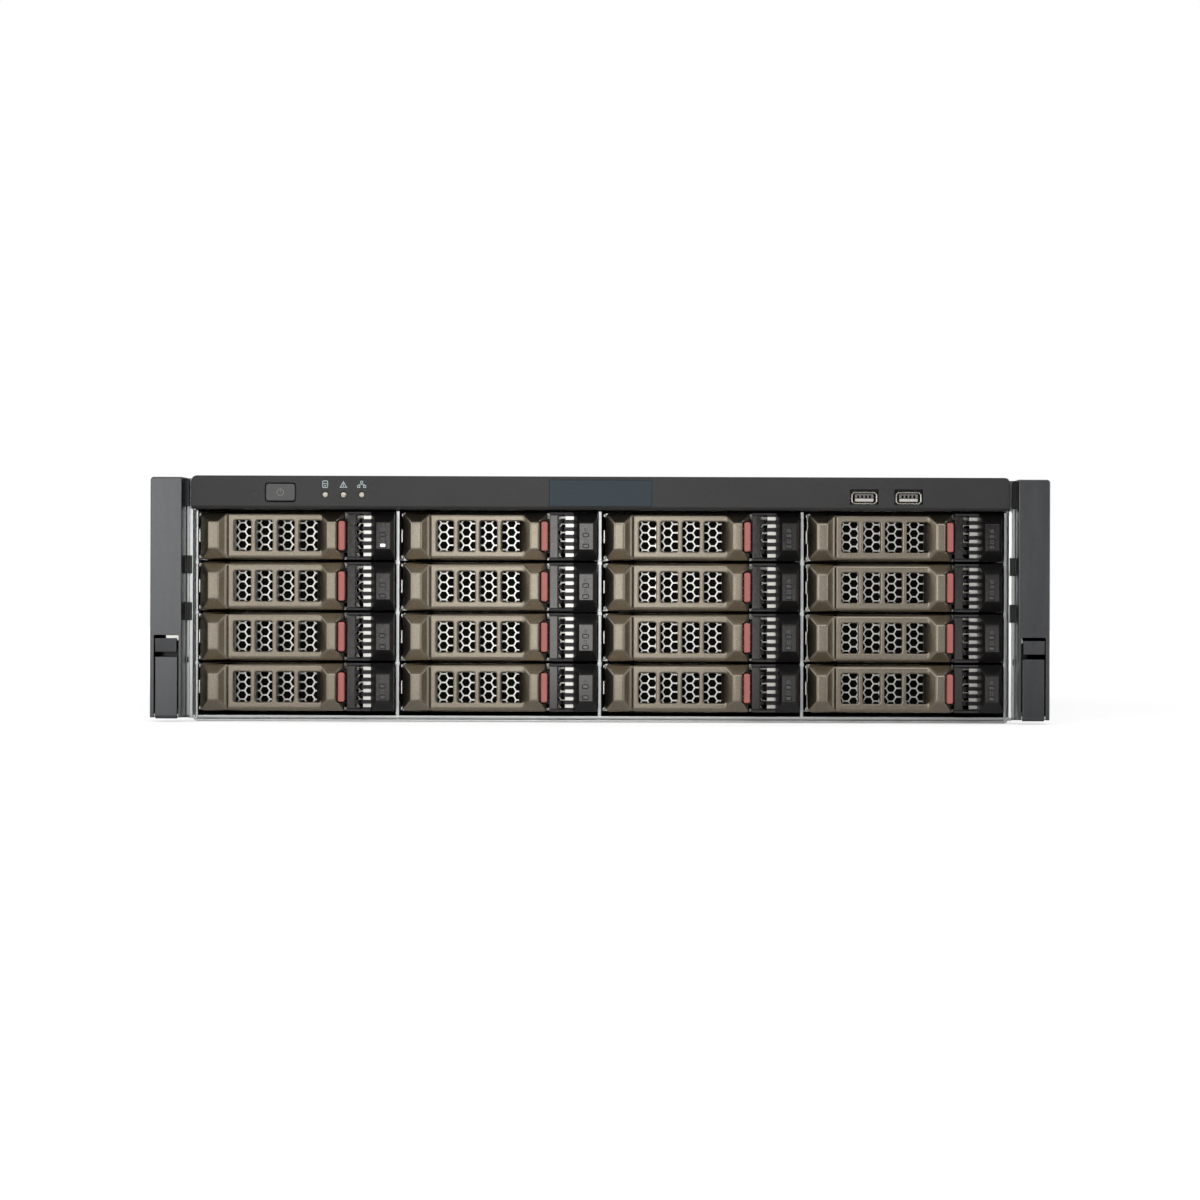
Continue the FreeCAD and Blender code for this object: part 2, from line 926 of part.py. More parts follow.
def power_button():
    front = bezel_front - power_proud
    behind = bezel_front + bezel_wall + running_gap
    half_width = power_width / 2
    half_height = power_height / 2
    cap = block(
        power_x - half_width,
        power_x + half_width,
        front,
        behind,
        bezel_mid - half_height,
        bezel_mid + half_height,
    )
    upright_edges = [edge for edge in cap.Edges if abs(edge.tangentAt(0).y) > 0.99]
    cap = cap.makeFillet(power_corner, upright_edges)
    flange = block(
        power_x - half_width - power_flange,
        power_x + half_width + power_flange,
        behind,
        behind + power_flange_depth,
        bezel_mid - half_height,
        bezel_mid + half_height,
    )
    stem_start = point(power_x, behind, bezel_mid)
    stem = rod(stem_start, power_corner, chassis_front - behind, Y_AXIS)
    return joined(cap, flange, stem)


def usb_socket(x):
    """Metal shell with a plastic tongue inside."""
    front = bezel_front + plate_depth
    rear = front + usb_depth
    left = x - usb_width / 2
    right = x + usb_width / 2
    shell = block(left, right, front, rear, io_board_top, io_board_top + usb_height)
    mouth = block(
        left + usb_shell,
        right - usb_shell,
        front,
        rear - usb_shell,
        io_board_top + usb_shell,
        io_board_top + usb_height - usb_shell,
    )
    tongue_top = io_board_top + usb_height - 2 * usb_shell
    tongue = block(
        left + 2 * usb_shell,
        right - 2 * usb_shell,
        front + 2 * usb_shell,
        rear - usb_shell,
        tongue_top - usb_tongue,
        tongue_top,
    )
    return [shell.cut(mouth), tongue]


def front_io_board():
    board_front = bezel_front + bezel_wall + io_board_thickness
    left = power_x - io_board_overhang
    right = usb_places()[-1] + io_board_overhang
    board_rear = chassis_front + io_board_depth
    board = block(left, right, board_front, board_rear, io_board_bottom, io_board_top)
    pieces = [board]
    for x in (left + io_board_overhang, 0, right - io_board_overhang):
        start = point(x, board_rear - io_board_overhang, cage_top + sheet)
        pieces.append(rod(start, io_standoff_radius, io_board_thickness, Z_AXIS))
    for x in usb_places():
        pieces += usb_socket(x)
    for x in indicator_places():
        pipe = rod(point(x, bezel_front, bezel_mid), indicator_radius, front_bezel_reach, Y_AXIS)
        lamp = block(
            x - indicator_body / 2,
            x + indicator_body / 2,
            chassis_front,
            chassis_front + indicator_body,
            io_board_top,
            bezel_mid + indicator_body / 2,
        )
        pieces.append(joined(pipe, lamp))
    switch = power_switch_front()
    pieces.append(
        block(
            power_x - power_height / 2,
            power_x + power_height / 2,
            switch,
            switch + power_height,
            io_board_top,
            bezel_mid + power_height / 2,
        )
    )
    return pieces


# Rack ears


def ear_cover():
    """Hollow moulding over the right rack flange, with a window for the flap and a sloped finger scoop."""
    inner = chassis_half + bracket_lip
    top = chassis_height - ear_top_gap
    outline = [
        (inner, flange_front),
        (inner, ear_front + ear_slope),
        (inner + ear_chamfer, ear_front),
        (rack_half - ear_chamfer, ear_front),
        (rack_half, ear_front + ear_chamfer),
        (rack_half, flange_front),
    ]
    shell = upright(outline, ear_bottom, top)
    hollow = block(
        inner + ear_wall,
        rack_half - ear_wall,
        ear_front + ear_wall,
        flange_front,
        ear_bottom + ear_wall,
        top - ear_wall,
    )
    left, right = flap_span()
    opening = block(
        left - flap_side_gap,
        right + flap_side_gap,
        ear_front - overcut,
        flange_front,
        ear_bottom,
        window_top,
    )
    scoop = crosswise(
        [
            (ear_front + scoop_setback, scoop_top),
            (ear_front + scoop_setback + scoop_wall, scoop_top),
            (ear_front + scoop_setback + scoop_wall + scoop_slope, scoop_bottom),
            (ear_front + scoop_setback + scoop_slope, scoop_bottom),
        ],
        inner + ear_wall / 2,
        right + flap_side_gap,
    )
    axis_y, axis_z = flap_axis()
    pin_left = left - flap_side_gap - ear_wall
    pin_length = right + flap_side_gap - pin_left
    pin = rod(point(pin_left, axis_y, axis_z), flap_pin_radius, pin_length, X_AXIS)
    cheek = block(
        left - flap_side_gap - ear_wall,
        left - flap_side_gap,
        ear_front,
        flange_front,
        ear_bottom,
        window_top,
    )
    clips = []
    for level in clip_levels:
        rear = chassis_front - bracket_lead
        clips.append(
            block(
                inner - clip_reach,
                inner + ear_wall / 2,
                rear - clip_depth,
                rear,
                level,
                level + clip_height,
            )
        )
    return joined(shell.cut(hollow).cut(opening), cheek, scoop, pin, *clips)


def flap_axis():
    return ear_front + flap_recess + flap_barrel_radius, flap_axis_height


def ear_flap():
    """Small door over the rack screw, with its hinge barrel at the bottom."""
    left, right = flap_span()
    axis_y, axis_z = flap_axis()
    front = ear_front + flap_recess
    door = block(left, right, front, front + flap_thickness, axis_z, flap_top)
    barrel = rod(point(left, axis_y, axis_z), flap_barrel_radius, flap_width, X_AXIS)
    bore = rod(point(left, axis_y, axis_z), flap_pin_radius + hinge_clearance, flap_width, X_AXIS)
    return joined(door, barrel).cut(bore)


# Inside the chassis


def backplane():
    board = block(-inner_half, inner_half, backplane_front, backplane_rear, sheet, cage_top)
    slots = []
    sockets = []
    for column, row in bays():
        x, z = bay_place(column, row)
        slots.append(
            block(
                x - air_slot_width / 2,
                x + air_slot_width / 2,
                backplane_front,
                backplane_rear,
                z + air_slot_rise,
                z + air_slot_rise + air_slot_height,
            )
        )
        sockets.append(
            block(
                x - socket_width / 2,
                x + socket_width / 2,
                backplane_front - socket_depth,
                backplane_front,
                z + socket_rise,
                z + socket_rise + socket_height,
            )
        )
    return [board.cut(slots)] + sockets


def fan_places():
    return [(index - (fan_count - 1) / 2) * fan_pitch for index in range(fan_count)]


def fan_frame(x):
    """Square frame with a round bore and the cross that carries the motor at the rear."""
    front = fan_wall_front + sheet
    rear = front + fan_depth
    middle = sheet + fan_size / 2
    half = fan_size / 2
    frame = block(x - half, x + half, front, rear, middle - half, middle + half)
    frame = frame.cut(rod(point(x, front, middle), fan_bore, fan_depth, Y_AXIS))
    strut = fan_strut / 2
    flat = block(x - half + strut, x + half - strut, rear - fan_strut, rear, middle - strut, middle + strut)
    tall = block(x - strut, x + strut, rear - fan_strut, rear, middle - half + strut, middle + half - strut)
    motor = rod(point(x, rear - fan_strut, middle), fan_hub_radius, fan_strut, Y_AXIS)
    return joined(frame, flat, tall, motor)


def fan_rotor(x):
    """Hub and tilted blades, a running gap ahead of the motor."""
    front = fan_wall_front + sheet + fan_strut
    length = fan_depth - 2 * fan_strut - fan_rotor_gap
    middle = sheet + fan_size / 2
    hub = rod(point(x, front, middle), fan_hub_radius, length, Y_AXIS)
    pitch = math.radians(fan_blade_pitch)
    half_length = (length - fan_blade_thickness) / 2
    blades = []
    for index in range(fan_blades):
        blade = block(
            x - fan_blade_thickness / 2,
            x + fan_blade_thickness / 2,
            front + length / 2 - half_length * math.cos(pitch),
            front + length / 2 + half_length * math.cos(pitch),
            middle,
            middle + fan_bore - fan_tip_gap,
        )
        centre = point(x, front + length / 2, middle)
        blade.rotate(centre, Z_AXIS, fan_blade_pitch)
        blade.rotate(centre, Y_AXIS, index * 360 / fan_blades)
        blades.append(blade)
    tunnel = rod(point(x, front, middle), fan_bore - fan_tip_gap, length, Y_AXIS)
    return joined(hub, *[blade.common(tunnel) for blade in blades])


def fan_wall():
    plate = block(
        -inner_half, inner_half, fan_wall_front, fan_wall_front + sheet, sheet, wall_top - cover_flange_depth
    )
    middle = sheet + fan_size / 2
    holes = [rod(point(x, fan_wall_front, middle), fan_bore, sheet, Y_AXIS) for x in fan_places()]
    pieces = [plate.cut(holes)]
    for x in fan_places():
        pieces += [fan_frame(x), fan_rotor(x)]
    return pieces


def heatsink(x, y):
    body = block(x, x + heatsink_size, y, y + heatsink_size, board_top, board_top + heatsink_height)
    fin = (heatsink_size - (heatsink_fins - 1) * heatsink_slot) / heatsink_fins
    slots = []
    for index in range(heatsink_fins - 1):
        left = x + fin + index * (fin + heatsink_slot)
        slots.append(
            block(
                left,
                left + heatsink_slot,
                y,
                y + heatsink_size,
                board_top + heatsink_base,
                board_top + heatsink_height,
            )
        )
    return body.cut(slots)


def connector(kind, left, right, top):
    """Socket on the rear edge of the board, with its mouth just proud of the panel."""
    mouth_width, mouth_height, mouth_depth, tongue = CONNECTOR_KINDS[kind][2:]
    face = chassis_rear + connector_reach
    body = block(left, right, panel_front - connector_depth, face, board_top, top)
    x = (left + right) / 2
    z = (board_top + top) / 2
    half_width = mouth_width / 2
    half_height = mouth_height / 2
    inside = face - mouth_depth
    body = body.cut(block(x - half_width, x + half_width, inside, face, z - half_height, z + half_height))
    if not tongue:
        return body
    half_tongue = half_width - tongue
    blade = block(x - half_tongue, x + half_tongue, inside, face - tongue, z - tongue / 2, z + tongue / 2)
    return joined(body, blade)


def system_board():
    rear = panel_front
    front = rear - board_depth
    pieces = [block(board_left, board_right, front, rear, board_bottom, board_top)]
    for x in (board_left + standoff_height, board_right - standoff_height):
        for y in (front + standoff_height, rear - connector_depth):
            pieces.append(rod(point(x, y, sheet), standoff_radius, standoff_height, Z_AXIS))
    sink_x = board_left + heatsink_size
    sink_y = front + heatsink_size / 2
    pieces.append(heatsink(sink_x, sink_y))
    memory_left = sink_x + heatsink_size + memory_pitch
    for index in range(memory_count):
        left = memory_left + index * memory_pitch
        pieces.append(
            block(
                left,
                left + memory_thickness,
                front + memory_pitch,
                front + memory_pitch + memory_length,
                board_top,
                board_top + memory_height,
            )
        )
    pieces += [connector(*place) for place in connector_places()]
    return pieces


def supply_case():
    """Sheet-steel box that stands on the floor of the chassis, cut at the rear for the inlet."""
    front = panel_front - supply_depth
    box = block(supply_left, supply_right, front, panel_front, sheet, supply_top)
    room = block(
        supply_left + sheet,
        supply_right - sheet,
        front + sheet,
        panel_front - sheet,
        sheet,
        supply_top - sheet,
    )
    vents = []
    for row in range(rear_slot_rows):
        low = rear_slot_rise + row * rear_slot_pitch_z
        if low + rear_slot_height < supply_top - sheet:
            left = supply_left + inlet_edge
            right = inlet_left - supply_slot_gap
            vents.append(
                block(left, right, panel_front - sheet, panel_front, low, low + rear_slot_height)
            )
    return box.cut([room, inlet_body()] + vents)


def inlet_body():
    return block(
        inlet_left,
        inlet_left + inlet_width,
        chassis_rear - inlet_depth - inlet_rim,
        chassis_rear,
        inlet_rise,
        inlet_rise + inlet_height,
    )


def mains_inlet():
    """Moulded socket with three flat pins."""
    floor = chassis_rear - inlet_depth
    cavity = block(
        inlet_left + inlet_rim,
        inlet_left + inlet_width - inlet_rim,
        floor,
        chassis_rear,
        inlet_rise + inlet_rim,
        inlet_rise + inlet_height - inlet_rim,
    )
    middle_x = inlet_left + inlet_width / 2
    middle_z = inlet_rise + inlet_height / 2
    pins = []
    for step in (-1, 0, 1):
        x = middle_x + step * inlet_pin_pitch
        low = middle_z - inlet_pin_width / 2 - inlet_pin_drop
        if step == 0:
            low -= inlet_earth_drop
        pins.append(
            block(
                x - inlet_pin_thickness / 2,
                x + inlet_pin_thickness / 2,
                floor,
                floor + inlet_pin_length,
                low,
                low + inlet_pin_width,
            )
        )
    return joined(inlet_body().cut(cavity), *pins)


def supply_core():
    """Transformer and coils inside the supply, as one block on the floor."""
    middle_x = (supply_left + supply_right) / 2
    middle_y = panel_front - supply_depth / 2
    half = core_size / 2
    top = sheet + core_height
    return block(middle_x - half, middle_x + half, middle_y - half, middle_y + half, sheet, top)


def main():
    os.makedirs("parts", exist_ok=True)
    export_trays()
    bracket = ear_bracket()
    export("chassis", pan(), *cage(), bracket, mirrored(bracket))
    export("rear_panel", rear_panel())
    export("rear_vent", rear_vent())
    export("connector_shield", connector_shield())
    export("top_cover", top_cover())
    export("front_bezel", front_bezel(), plain_plate())
    export("power_button", power_button())
    export("front_io_board", *front_io_board())
    right_cover = ear_cover()
    export("rack_ears", right_cover, mirrored(right_cover))
    right_flap = ear_flap()
    export("right_ear_flap", right_flap)
    export("left_ear_flap", mirrored(right_flap))
    export("backplane", *backplane())
    export("fan_wall", *fan_wall())
    export("system_board", *system_board())
    export("power_supply", supply_case(), mains_inlet(), supply_core())
    print(f"{2 * rack_half:.1f} wide, {overall_depth:.1f} deep, {chassis_height:.1f} high")


main()
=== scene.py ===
# %% [markdown]
# # A rack video recorder with sixteen drive trays
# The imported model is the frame: it says where every piece is and how it moves.
# This lesson dresses that frame. Each step says what a piece is on the real object and how it is made.

# %% Load the frame
import bmesh
import bpy
import json
import math
from mathutils import Matrix, Vector

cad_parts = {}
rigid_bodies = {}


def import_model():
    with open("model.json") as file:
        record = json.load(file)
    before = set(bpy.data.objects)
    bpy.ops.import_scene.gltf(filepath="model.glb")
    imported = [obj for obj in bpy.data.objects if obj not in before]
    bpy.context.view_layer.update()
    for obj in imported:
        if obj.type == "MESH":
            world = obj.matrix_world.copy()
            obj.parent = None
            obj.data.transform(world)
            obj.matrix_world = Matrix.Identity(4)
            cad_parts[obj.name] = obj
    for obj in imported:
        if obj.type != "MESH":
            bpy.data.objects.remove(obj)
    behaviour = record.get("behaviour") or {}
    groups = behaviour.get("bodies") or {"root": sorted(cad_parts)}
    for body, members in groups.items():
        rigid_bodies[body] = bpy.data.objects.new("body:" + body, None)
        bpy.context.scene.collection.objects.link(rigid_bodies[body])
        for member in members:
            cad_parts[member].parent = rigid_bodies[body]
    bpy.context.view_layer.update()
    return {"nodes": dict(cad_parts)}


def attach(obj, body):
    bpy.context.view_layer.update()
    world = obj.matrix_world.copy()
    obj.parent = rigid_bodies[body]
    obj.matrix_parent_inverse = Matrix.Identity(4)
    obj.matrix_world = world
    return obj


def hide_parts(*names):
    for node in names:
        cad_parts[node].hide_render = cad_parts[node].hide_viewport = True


for leftover in list(bpy.data.objects):
    bpy.data.objects.remove(leftover)
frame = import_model()
bpy.ops.object.select_all(action="DESELECT")

# %% [markdown]
# ## Camera
# The photograph looks straight at the front from about two metres, half as high as the chassis.
# The lens stands a little to the right of the middle, which the inner sides of the two ears show.
# A small shift brings the object back to the middle of the square picture without turning the view.
# The picture spans 643 mm at the ears, which gives the focal length. It is rolled by a fifth of a degree.

# %% Camera
MM = 0.001
FRAME_WIDTH = 643.4
EYE = (66.0, -2210.0, 66.2)
EAR_FRONT = -258.2
ROLL_DEGREES = -0.19


def place(x, y, z):
    """A point in millimetres, as the frame's metres."""
    return Vector((x, y, z)) * MM


lens = bpy.data.cameras.new("front_lens")
camera = bpy.data.objects.new("front_camera", lens)
bpy.context.scene.collection.objects.link(camera)
camera.location = place(*EYE)
camera.rotation_euler = (math.radians(90), math.radians(ROLL_DEGREES), 0)
lens.sensor_width = 36.0
lens.lens = lens.sensor_width * (EAR_FRONT - EYE[1]) / FRAME_WIDTH
lens.shift_x = -EYE[0] / FRAME_WIDTH
bpy.context.scene.camera = camera
print("focal length", round(lens.lens, 1), "mm")

# %% [markdown]
# ## Materials
# Every finish is built from nodes on Object coordinates, so it stays on the piece from any side.
# Colours are written as the hex values that a screen shows and turned to linear light by one function.
# Another function adds a node, sets it and links it, which keeps each material readable.

# %% Material helpers
# A Mix node has sockets for every kind of data. These are the ones for colours and for plain values.
COLOUR_A = 6
COLOUR_B = 7
COLOUR_OUT = 2
VALUE_A = 2
VALUE_B = 3


def linear(hex_colour):
    """An sRGB hex colour as linear RGBA."""
    channels = [int(hex_colour[i:i + 2], 16) / 255 for i in (1, 3, 5)]
    return tuple(c / 12.92 if c <= 0.04045 else ((c + 0.055) / 1.055) ** 2.4 for c in channels) + (1.0,)


def node(material, kind, inputs, **settings):
    """Add a node, set its properties, and set or link its inputs."""
    made = material.node_tree.nodes.new(kind)
    for key, value in settings.items():
        setattr(made, key, value)
    for key, value in inputs.items():
        if isinstance(value, bpy.types.NodeSocket):
            material.node_tree.links.new(value, made.inputs[key])
        else:
            made.inputs[key].default_value = value
    return made


def finish(name, colour, metallic, roughness):
    """A material, its shader and its Object coordinates."""
    material = bpy.data.materials.new(name)
    material.use_nodes = True
    shader = material.node_tree.nodes["Principled BSDF"]
    shader.inputs["Base Color"].default_value = linear(colour)
    shader.inputs["Metallic"].default_value = metallic
    shader.inputs["Roughness"].default_value = roughness
    where = node(material, "ShaderNodeTexCoord", {}).outputs["Object"]
    return material, shader, where


def link(material, output, shader, socket):
    material.node_tree.links.new(output, shader.inputs[socket])


def tune(material, socket, value):
    """Set a value that is the same all over a surface."""
    material.node_tree.nodes["Principled BSDF"].inputs[socket].default_value = value


def per_mm(size):
    """Texture scale whose features are this many millimetres across."""
    return 1.0 / (size * MM)


print("middle grey in linear light:", round(linear("#808080")[0], 3))

# %% [markdown]
# ### Bronze lacquer of the levers
# The levers are die-cast and sprayed with a brown metallic lacquer.
# Flakes in it give a fine speckle, and a smooth topcoat gives the bright line along each edge.
# A cell pattern shades the flakes one by one.
# It is drawn at 0.5 mm, coarser than real flakes, so that it shows.

# %% Bronze lacquer
bronze, shader, where = finish("bronze_metallic_lacquer", "#a79e8f", 1.0, 0.32)
flakes = node(bronze, "ShaderNodeTexVoronoi", {"Vector": where, "Scale": per_mm(0.5)})
drift = node(bronze, "ShaderNodeTexNoise", {"Vector": where, "Scale": per_mm(35), "Detail": 3.0})
shade = node(bronze, "ShaderNodeMix", data_type="RGBA", inputs={
    "Factor": flakes.outputs["Color"], COLOUR_A: linear("#988f7f"), COLOUR_B: linear("#b1a899")})
tint = node(bronze, "ShaderNodeMix", data_type="RGBA", inputs={
    "Factor": drift.outputs["Fac"], COLOUR_A: linear("#ece8e4"), COLOUR_B: linear("#ffffff")})
mixed = node(bronze, "ShaderNodeMix", data_type="RGBA", blend_type="MULTIPLY", inputs={
    "Factor": 1.0, COLOUR_A: shade.outputs[COLOUR_OUT], COLOUR_B: tint.outputs[COLOUR_OUT]})
link(bronze, mixed.outputs[COLOUR_OUT], shader, "Base Color")
grain = node(bronze, "ShaderNodeMapRange", {"Value": drift.outputs["Fac"], "To Min": 0.28, "To Max": 0.36})
link(bronze, grain.outputs["Result"], shader, "Roughness")
relief = node(bronze, "ShaderNodeBump", inputs={
    "Height": flakes.outputs["Distance"], "Strength": 0.1, "Distance": 0.05 * MM})
link(bronze, relief.outputs["Normal"], shader, "Normal")
tune(bronze, "Coat Weight", 0.3)
tune(bronze, "Coat Roughness", 0.15)
print(bronze.name, len(bronze.node_tree.nodes), "nodes")

# %% [markdown]
# ### Galvanised steel of the chassis
# The sheet is zinc-coated in a bath of electrolyte, which leaves an even, satin grey with few crystals.
# A faint cell pattern gives the last trace of them, and a stretched noise gives the fine lines of rolling.

# %% Galvanised steel
zinc, shader, where = finish("galvanised_sheet_steel", "#dfe2e0", 1.0, 0.34)
spangle = node(zinc, "ShaderNodeTexVoronoi", {"Vector": where, "Scale": per_mm(4)})
cloud = node(zinc, "ShaderNodeTexNoise", {"Vector": where, "Scale": per_mm(60), "Detail": 3.0})
both = node(zinc, "ShaderNodeMix", inputs={
    "Factor": 0.6, VALUE_A: spangle.outputs["Distance"], VALUE_B: cloud.outputs["Fac"]})
shade = node(zinc, "ShaderNodeMix", data_type="RGBA", inputs={
    "Factor": both.outputs[0], COLOUR_A: linear("#d3d7d6"), COLOUR_B: linear("#ebedeb")})
link(zinc, shade.outputs[COLOUR_OUT], shader, "Base Color")
rolling = node(zinc, "ShaderNodeMapping", {"Vector": where, "Scale": (1.0, 0.04, 1.0)})
lines = node(zinc, "ShaderNodeTexNoise", inputs={
    "Vector": rolling.outputs["Vector"], "Scale": per_mm(1.2), "Detail": 2.0})
gloss = node(zinc, "ShaderNodeMapRange", {"Value": both.outputs[0], "To Min": 0.3, "To Max": 0.4})
link(zinc, gloss.outputs["Result"], shader, "Roughness")
relief = node(zinc, "ShaderNodeBump", inputs={
    "Height": lines.outputs["Fac"], "Strength": 0.1, "Distance": 0.05 * MM})
link(zinc, relief.outputs["Normal"], shader, "Normal")
print(zinc.name, len(zinc.node_tree.nodes), "nodes")

# %% [markdown]
# ### Bright steel of the tray sleds
# The sleds are stamped from electro-plated strip, which is brighter and smoother than the chassis.
# Handling leaves it slightly uneven, so a soft noise moves its colour and its gloss a little.
# Paint, ink and lenses are uneven in the same way, so a function makes this finish from its values.

# %% Bright plated steel


def mottled(name, darker, lighter, metallic, roughness, size_mm, detail=2.0, gloss=None):
    """A finish that drifts between two shades; a pair of gloss values makes its roughness drift as well."""
    material, shader, where = finish(name, darker, metallic, roughness)
    haze = node(material, "ShaderNodeTexNoise", inputs={
        "Vector": where, "Scale": per_mm(size_mm), "Detail": detail})
    shade = node(material, "ShaderNodeMix", data_type="RGBA", inputs={
        "Factor": haze.outputs["Fac"], COLOUR_A: linear(darker), COLOUR_B: linear(lighter)})
    link(material, shade.outputs[COLOUR_OUT], shader, "Base Color")
    if gloss:
        smooth, rough = gloss
        polish = node(material, "ShaderNodeMapRange",
                      {"Value": haze.outputs["Fac"], "To Min": smooth, "To Max": rough})
        link(material, polish.outputs["Result"], shader, "Roughness")
    return material


plated = mottled("bright_plated_steel", "#eeebe3", "#fcfaf4", 1.0, 0.3, 9, 4.0, (0.26, 0.38))
print(plated.name, len(plated.node_tree.nodes), "nodes")

# %% [markdown]
# ### Moulded plastics
# The trays' fronts and the bezel are ABS moulded in spark-eroded tools.
# Such a surface is matt with a fine, even grain, and shows as slightly mottled dark grey or black.
# They differ in colour, grain and gloss only, so one function makes these four and others that follow.

# %% Moulded plastics


def moulded(name, colour, lighter, grain_mm, roughness, depth):
    """A moulded finish with a fine grain in its colour, its gloss and its relief."""
    material, shader, where = finish(name, colour, 0.0, roughness)
    grain = node(material, "ShaderNodeTexNoise", inputs={
        "Vector": where, "Scale": per_mm(grain_mm), "Detail": 3.0})
    cloud = node(material, "ShaderNodeTexNoise", {"Vector": where, "Scale": per_mm(40), "Detail": 2.0})
    both = node(material, "ShaderNodeMath", operation="MULTIPLY", inputs={
        0: grain.outputs["Fac"], 1: cloud.outputs["Fac"]})
    shade = node(material, "ShaderNodeMix", data_type="RGBA", inputs={
        "Factor": both.outputs["Value"], COLOUR_A: linear(colour), COLOUR_B: linear(lighter)})
    link(material, shade.outputs[COLOUR_OUT], shader, "Base Color")
    gloss = node(material, "ShaderNodeMapRange",
                 {"Value": grain.outputs["Fac"], "To Min": roughness - 0.08, "To Max": roughness + 0.08})
    link(material, gloss.outputs["Result"], shader, "Roughness")
    relief = node(material, "ShaderNodeBump",
                  {"Height": grain.outputs["Fac"], "Strength": 0.35, "Distance": depth * MM})
    link(material, relief.outputs["Normal"], shader, "Normal")
    return material


black_abs = moulded("black_moulded_abs", "#131212", "#242323", 0.5, 0.32, 0.04)
charcoal_abs = moulded("charcoal_textured_abs", "#303030", "#474747", 0.6, 0.46, 0.06)
satin_abs = moulded("grey_satin_abs", "#525252", "#70706f", 0.9, 0.3, 0.04)
red_abs = moulded("red_moulded_abs", "#c87670", "#d98c85", 0.6, 0.36, 0.02)
print("black, charcoal, grey and red plastic")

# %% [markdown]
# ### Painted ears
# The ears wear a dark silver paint. Its flakes lie flat, so it is bright where it mirrors the light
# and dark elsewhere. A noise drawn out along the height gives the upright streaks of a sprayed face.
# The raised blocks of the trays wear a glossier, blacker paint, which is only mottled.

# %% Painted ears
silver_paint, shader, where = finish("dark_silver_paint", "#68696a", 1.0, 0.3)
upright_way = node(silver_paint, "ShaderNodeMapping", {"Vector": where, "Scale": (1.0, 1.0, 0.12)})
streaks = node(silver_paint, "ShaderNodeTexNoise",
               {"Vector": upright_way.outputs["Vector"], "Scale": per_mm(5), "Detail": 4.0})
speckle = node(silver_paint, "ShaderNodeTexNoise", {"Vector": where, "Scale": per_mm(0.6), "Detail": 2.0})
both = node(silver_paint, "ShaderNodeMix", inputs={
    "Factor": 0.4, VALUE_A: streaks.outputs["Fac"], VALUE_B: speckle.outputs["Fac"]})
shade = node(silver_paint, "ShaderNodeMix", data_type="RGBA", inputs={
    "Factor": both.outputs[0], COLOUR_A: linear("#595a5c"), COLOUR_B: linear("#777879")})
link(silver_paint, shade.outputs[COLOUR_OUT], shader, "Base Color")
gloss = node(silver_paint, "ShaderNodeMapRange", inputs={
    "Value": streaks.outputs["Fac"], "To Min": 0.24, "To Max": 0.36})
link(silver_paint, gloss.outputs["Result"], shader, "Roughness")
relief = node(silver_paint, "ShaderNodeBump", inputs={
    "Height": speckle.outputs["Fac"], "Strength": 0.2, "Distance": 0.04 * MM})
link(silver_paint, relief.outputs["Normal"], shader, "Normal")
black_paint = mottled("black_pearl_paint", "#454443", "#666462", 1.0, 0.18, 1.4, 3.0, (0.13, 0.24))
print("two paints")

# %% [markdown]
# ## Modelling helpers
# Work goes as by hand: a primitive at its size and place, then edit-mode operators, then modifiers.
# Operators act on all that is selected, so each new primitive starts from a cleared selection.
# Its place and size are applied at once, so that every piece keeps its place in its mesh.

# %% Modelling helpers


def clear_selection():
    if bpy.context.object and bpy.context.object.mode != "OBJECT":
        bpy.ops.object.mode_set(mode="OBJECT")
    bpy.ops.object.select_all(action="DESELECT")


def take(piece):
    """Make a piece the only one selected."""
    clear_selection()
    piece.select_set(True)
    bpy.context.view_layer.objects.active = piece


def applied():
    bpy.ops.object.transform_apply(location=True, rotation=True, scale=True)
    return bpy.context.object


def block(name, low, high):
    """A cube primitive stretched between two corners in millimetres."""
    clear_selection()
    low, high = Vector(map(min, low, high)), Vector(map(max, low, high))
    bpy.ops.mesh.primitive_cube_add(size=1, location=(low + high) / 2 * MM, scale=(high - low) * MM)
    bpy.context.object.name = name
    return applied()


def rod(name, start, end, radius, sides=24):
    """A cylinder primitive between two points in millimetres."""
    clear_selection()
    start = Vector(start)
    end = Vector(end)
    run = end - start
    turn = Vector((0, 0, 1)).rotation_difference(run.normalized()).to_euler()
    bpy.ops.mesh.primitive_cylinder_add(
        vertices=sides, radius=radius * MM, depth=run.length * MM,
        location=(start + end) / 2 * MM, rotation=turn)
    bpy.context.object.name = name
    return applied()


print("a piece starts from a block or a rod")

# %% [markdown]
# ### Picking
# In edit mode the faces, edges or corners to work on are picked by a test of their place or direction.
# Their numbers could be listed instead, but numbers change with every cut and places do not.

# %% Picking


def middle(part):
    """Middle of a face, an edge or a corner, in millimetres."""
    corners = getattr(part, "verts", [part])
    return sum((corner.co for corner in corners), Vector()) / len(corners) / MM


def runs_along(edge, axis):
    """Whether an edge runs along X, Y or Z."""
    way = (edge.verts[1].co - edge.verts[0].co).normalized()
    return abs(way["XYZ".index(axis)]) > 0.9


def front_to_back(edge):
    return runs_along(edge, "Y")


def in_front(edge, y):
    """Whether an edge lies in the plane of a front face."""
    return all(abs(corner.co.y / MM - y) < 0.01 for corner in edge.verts)


def every(part):
    return True


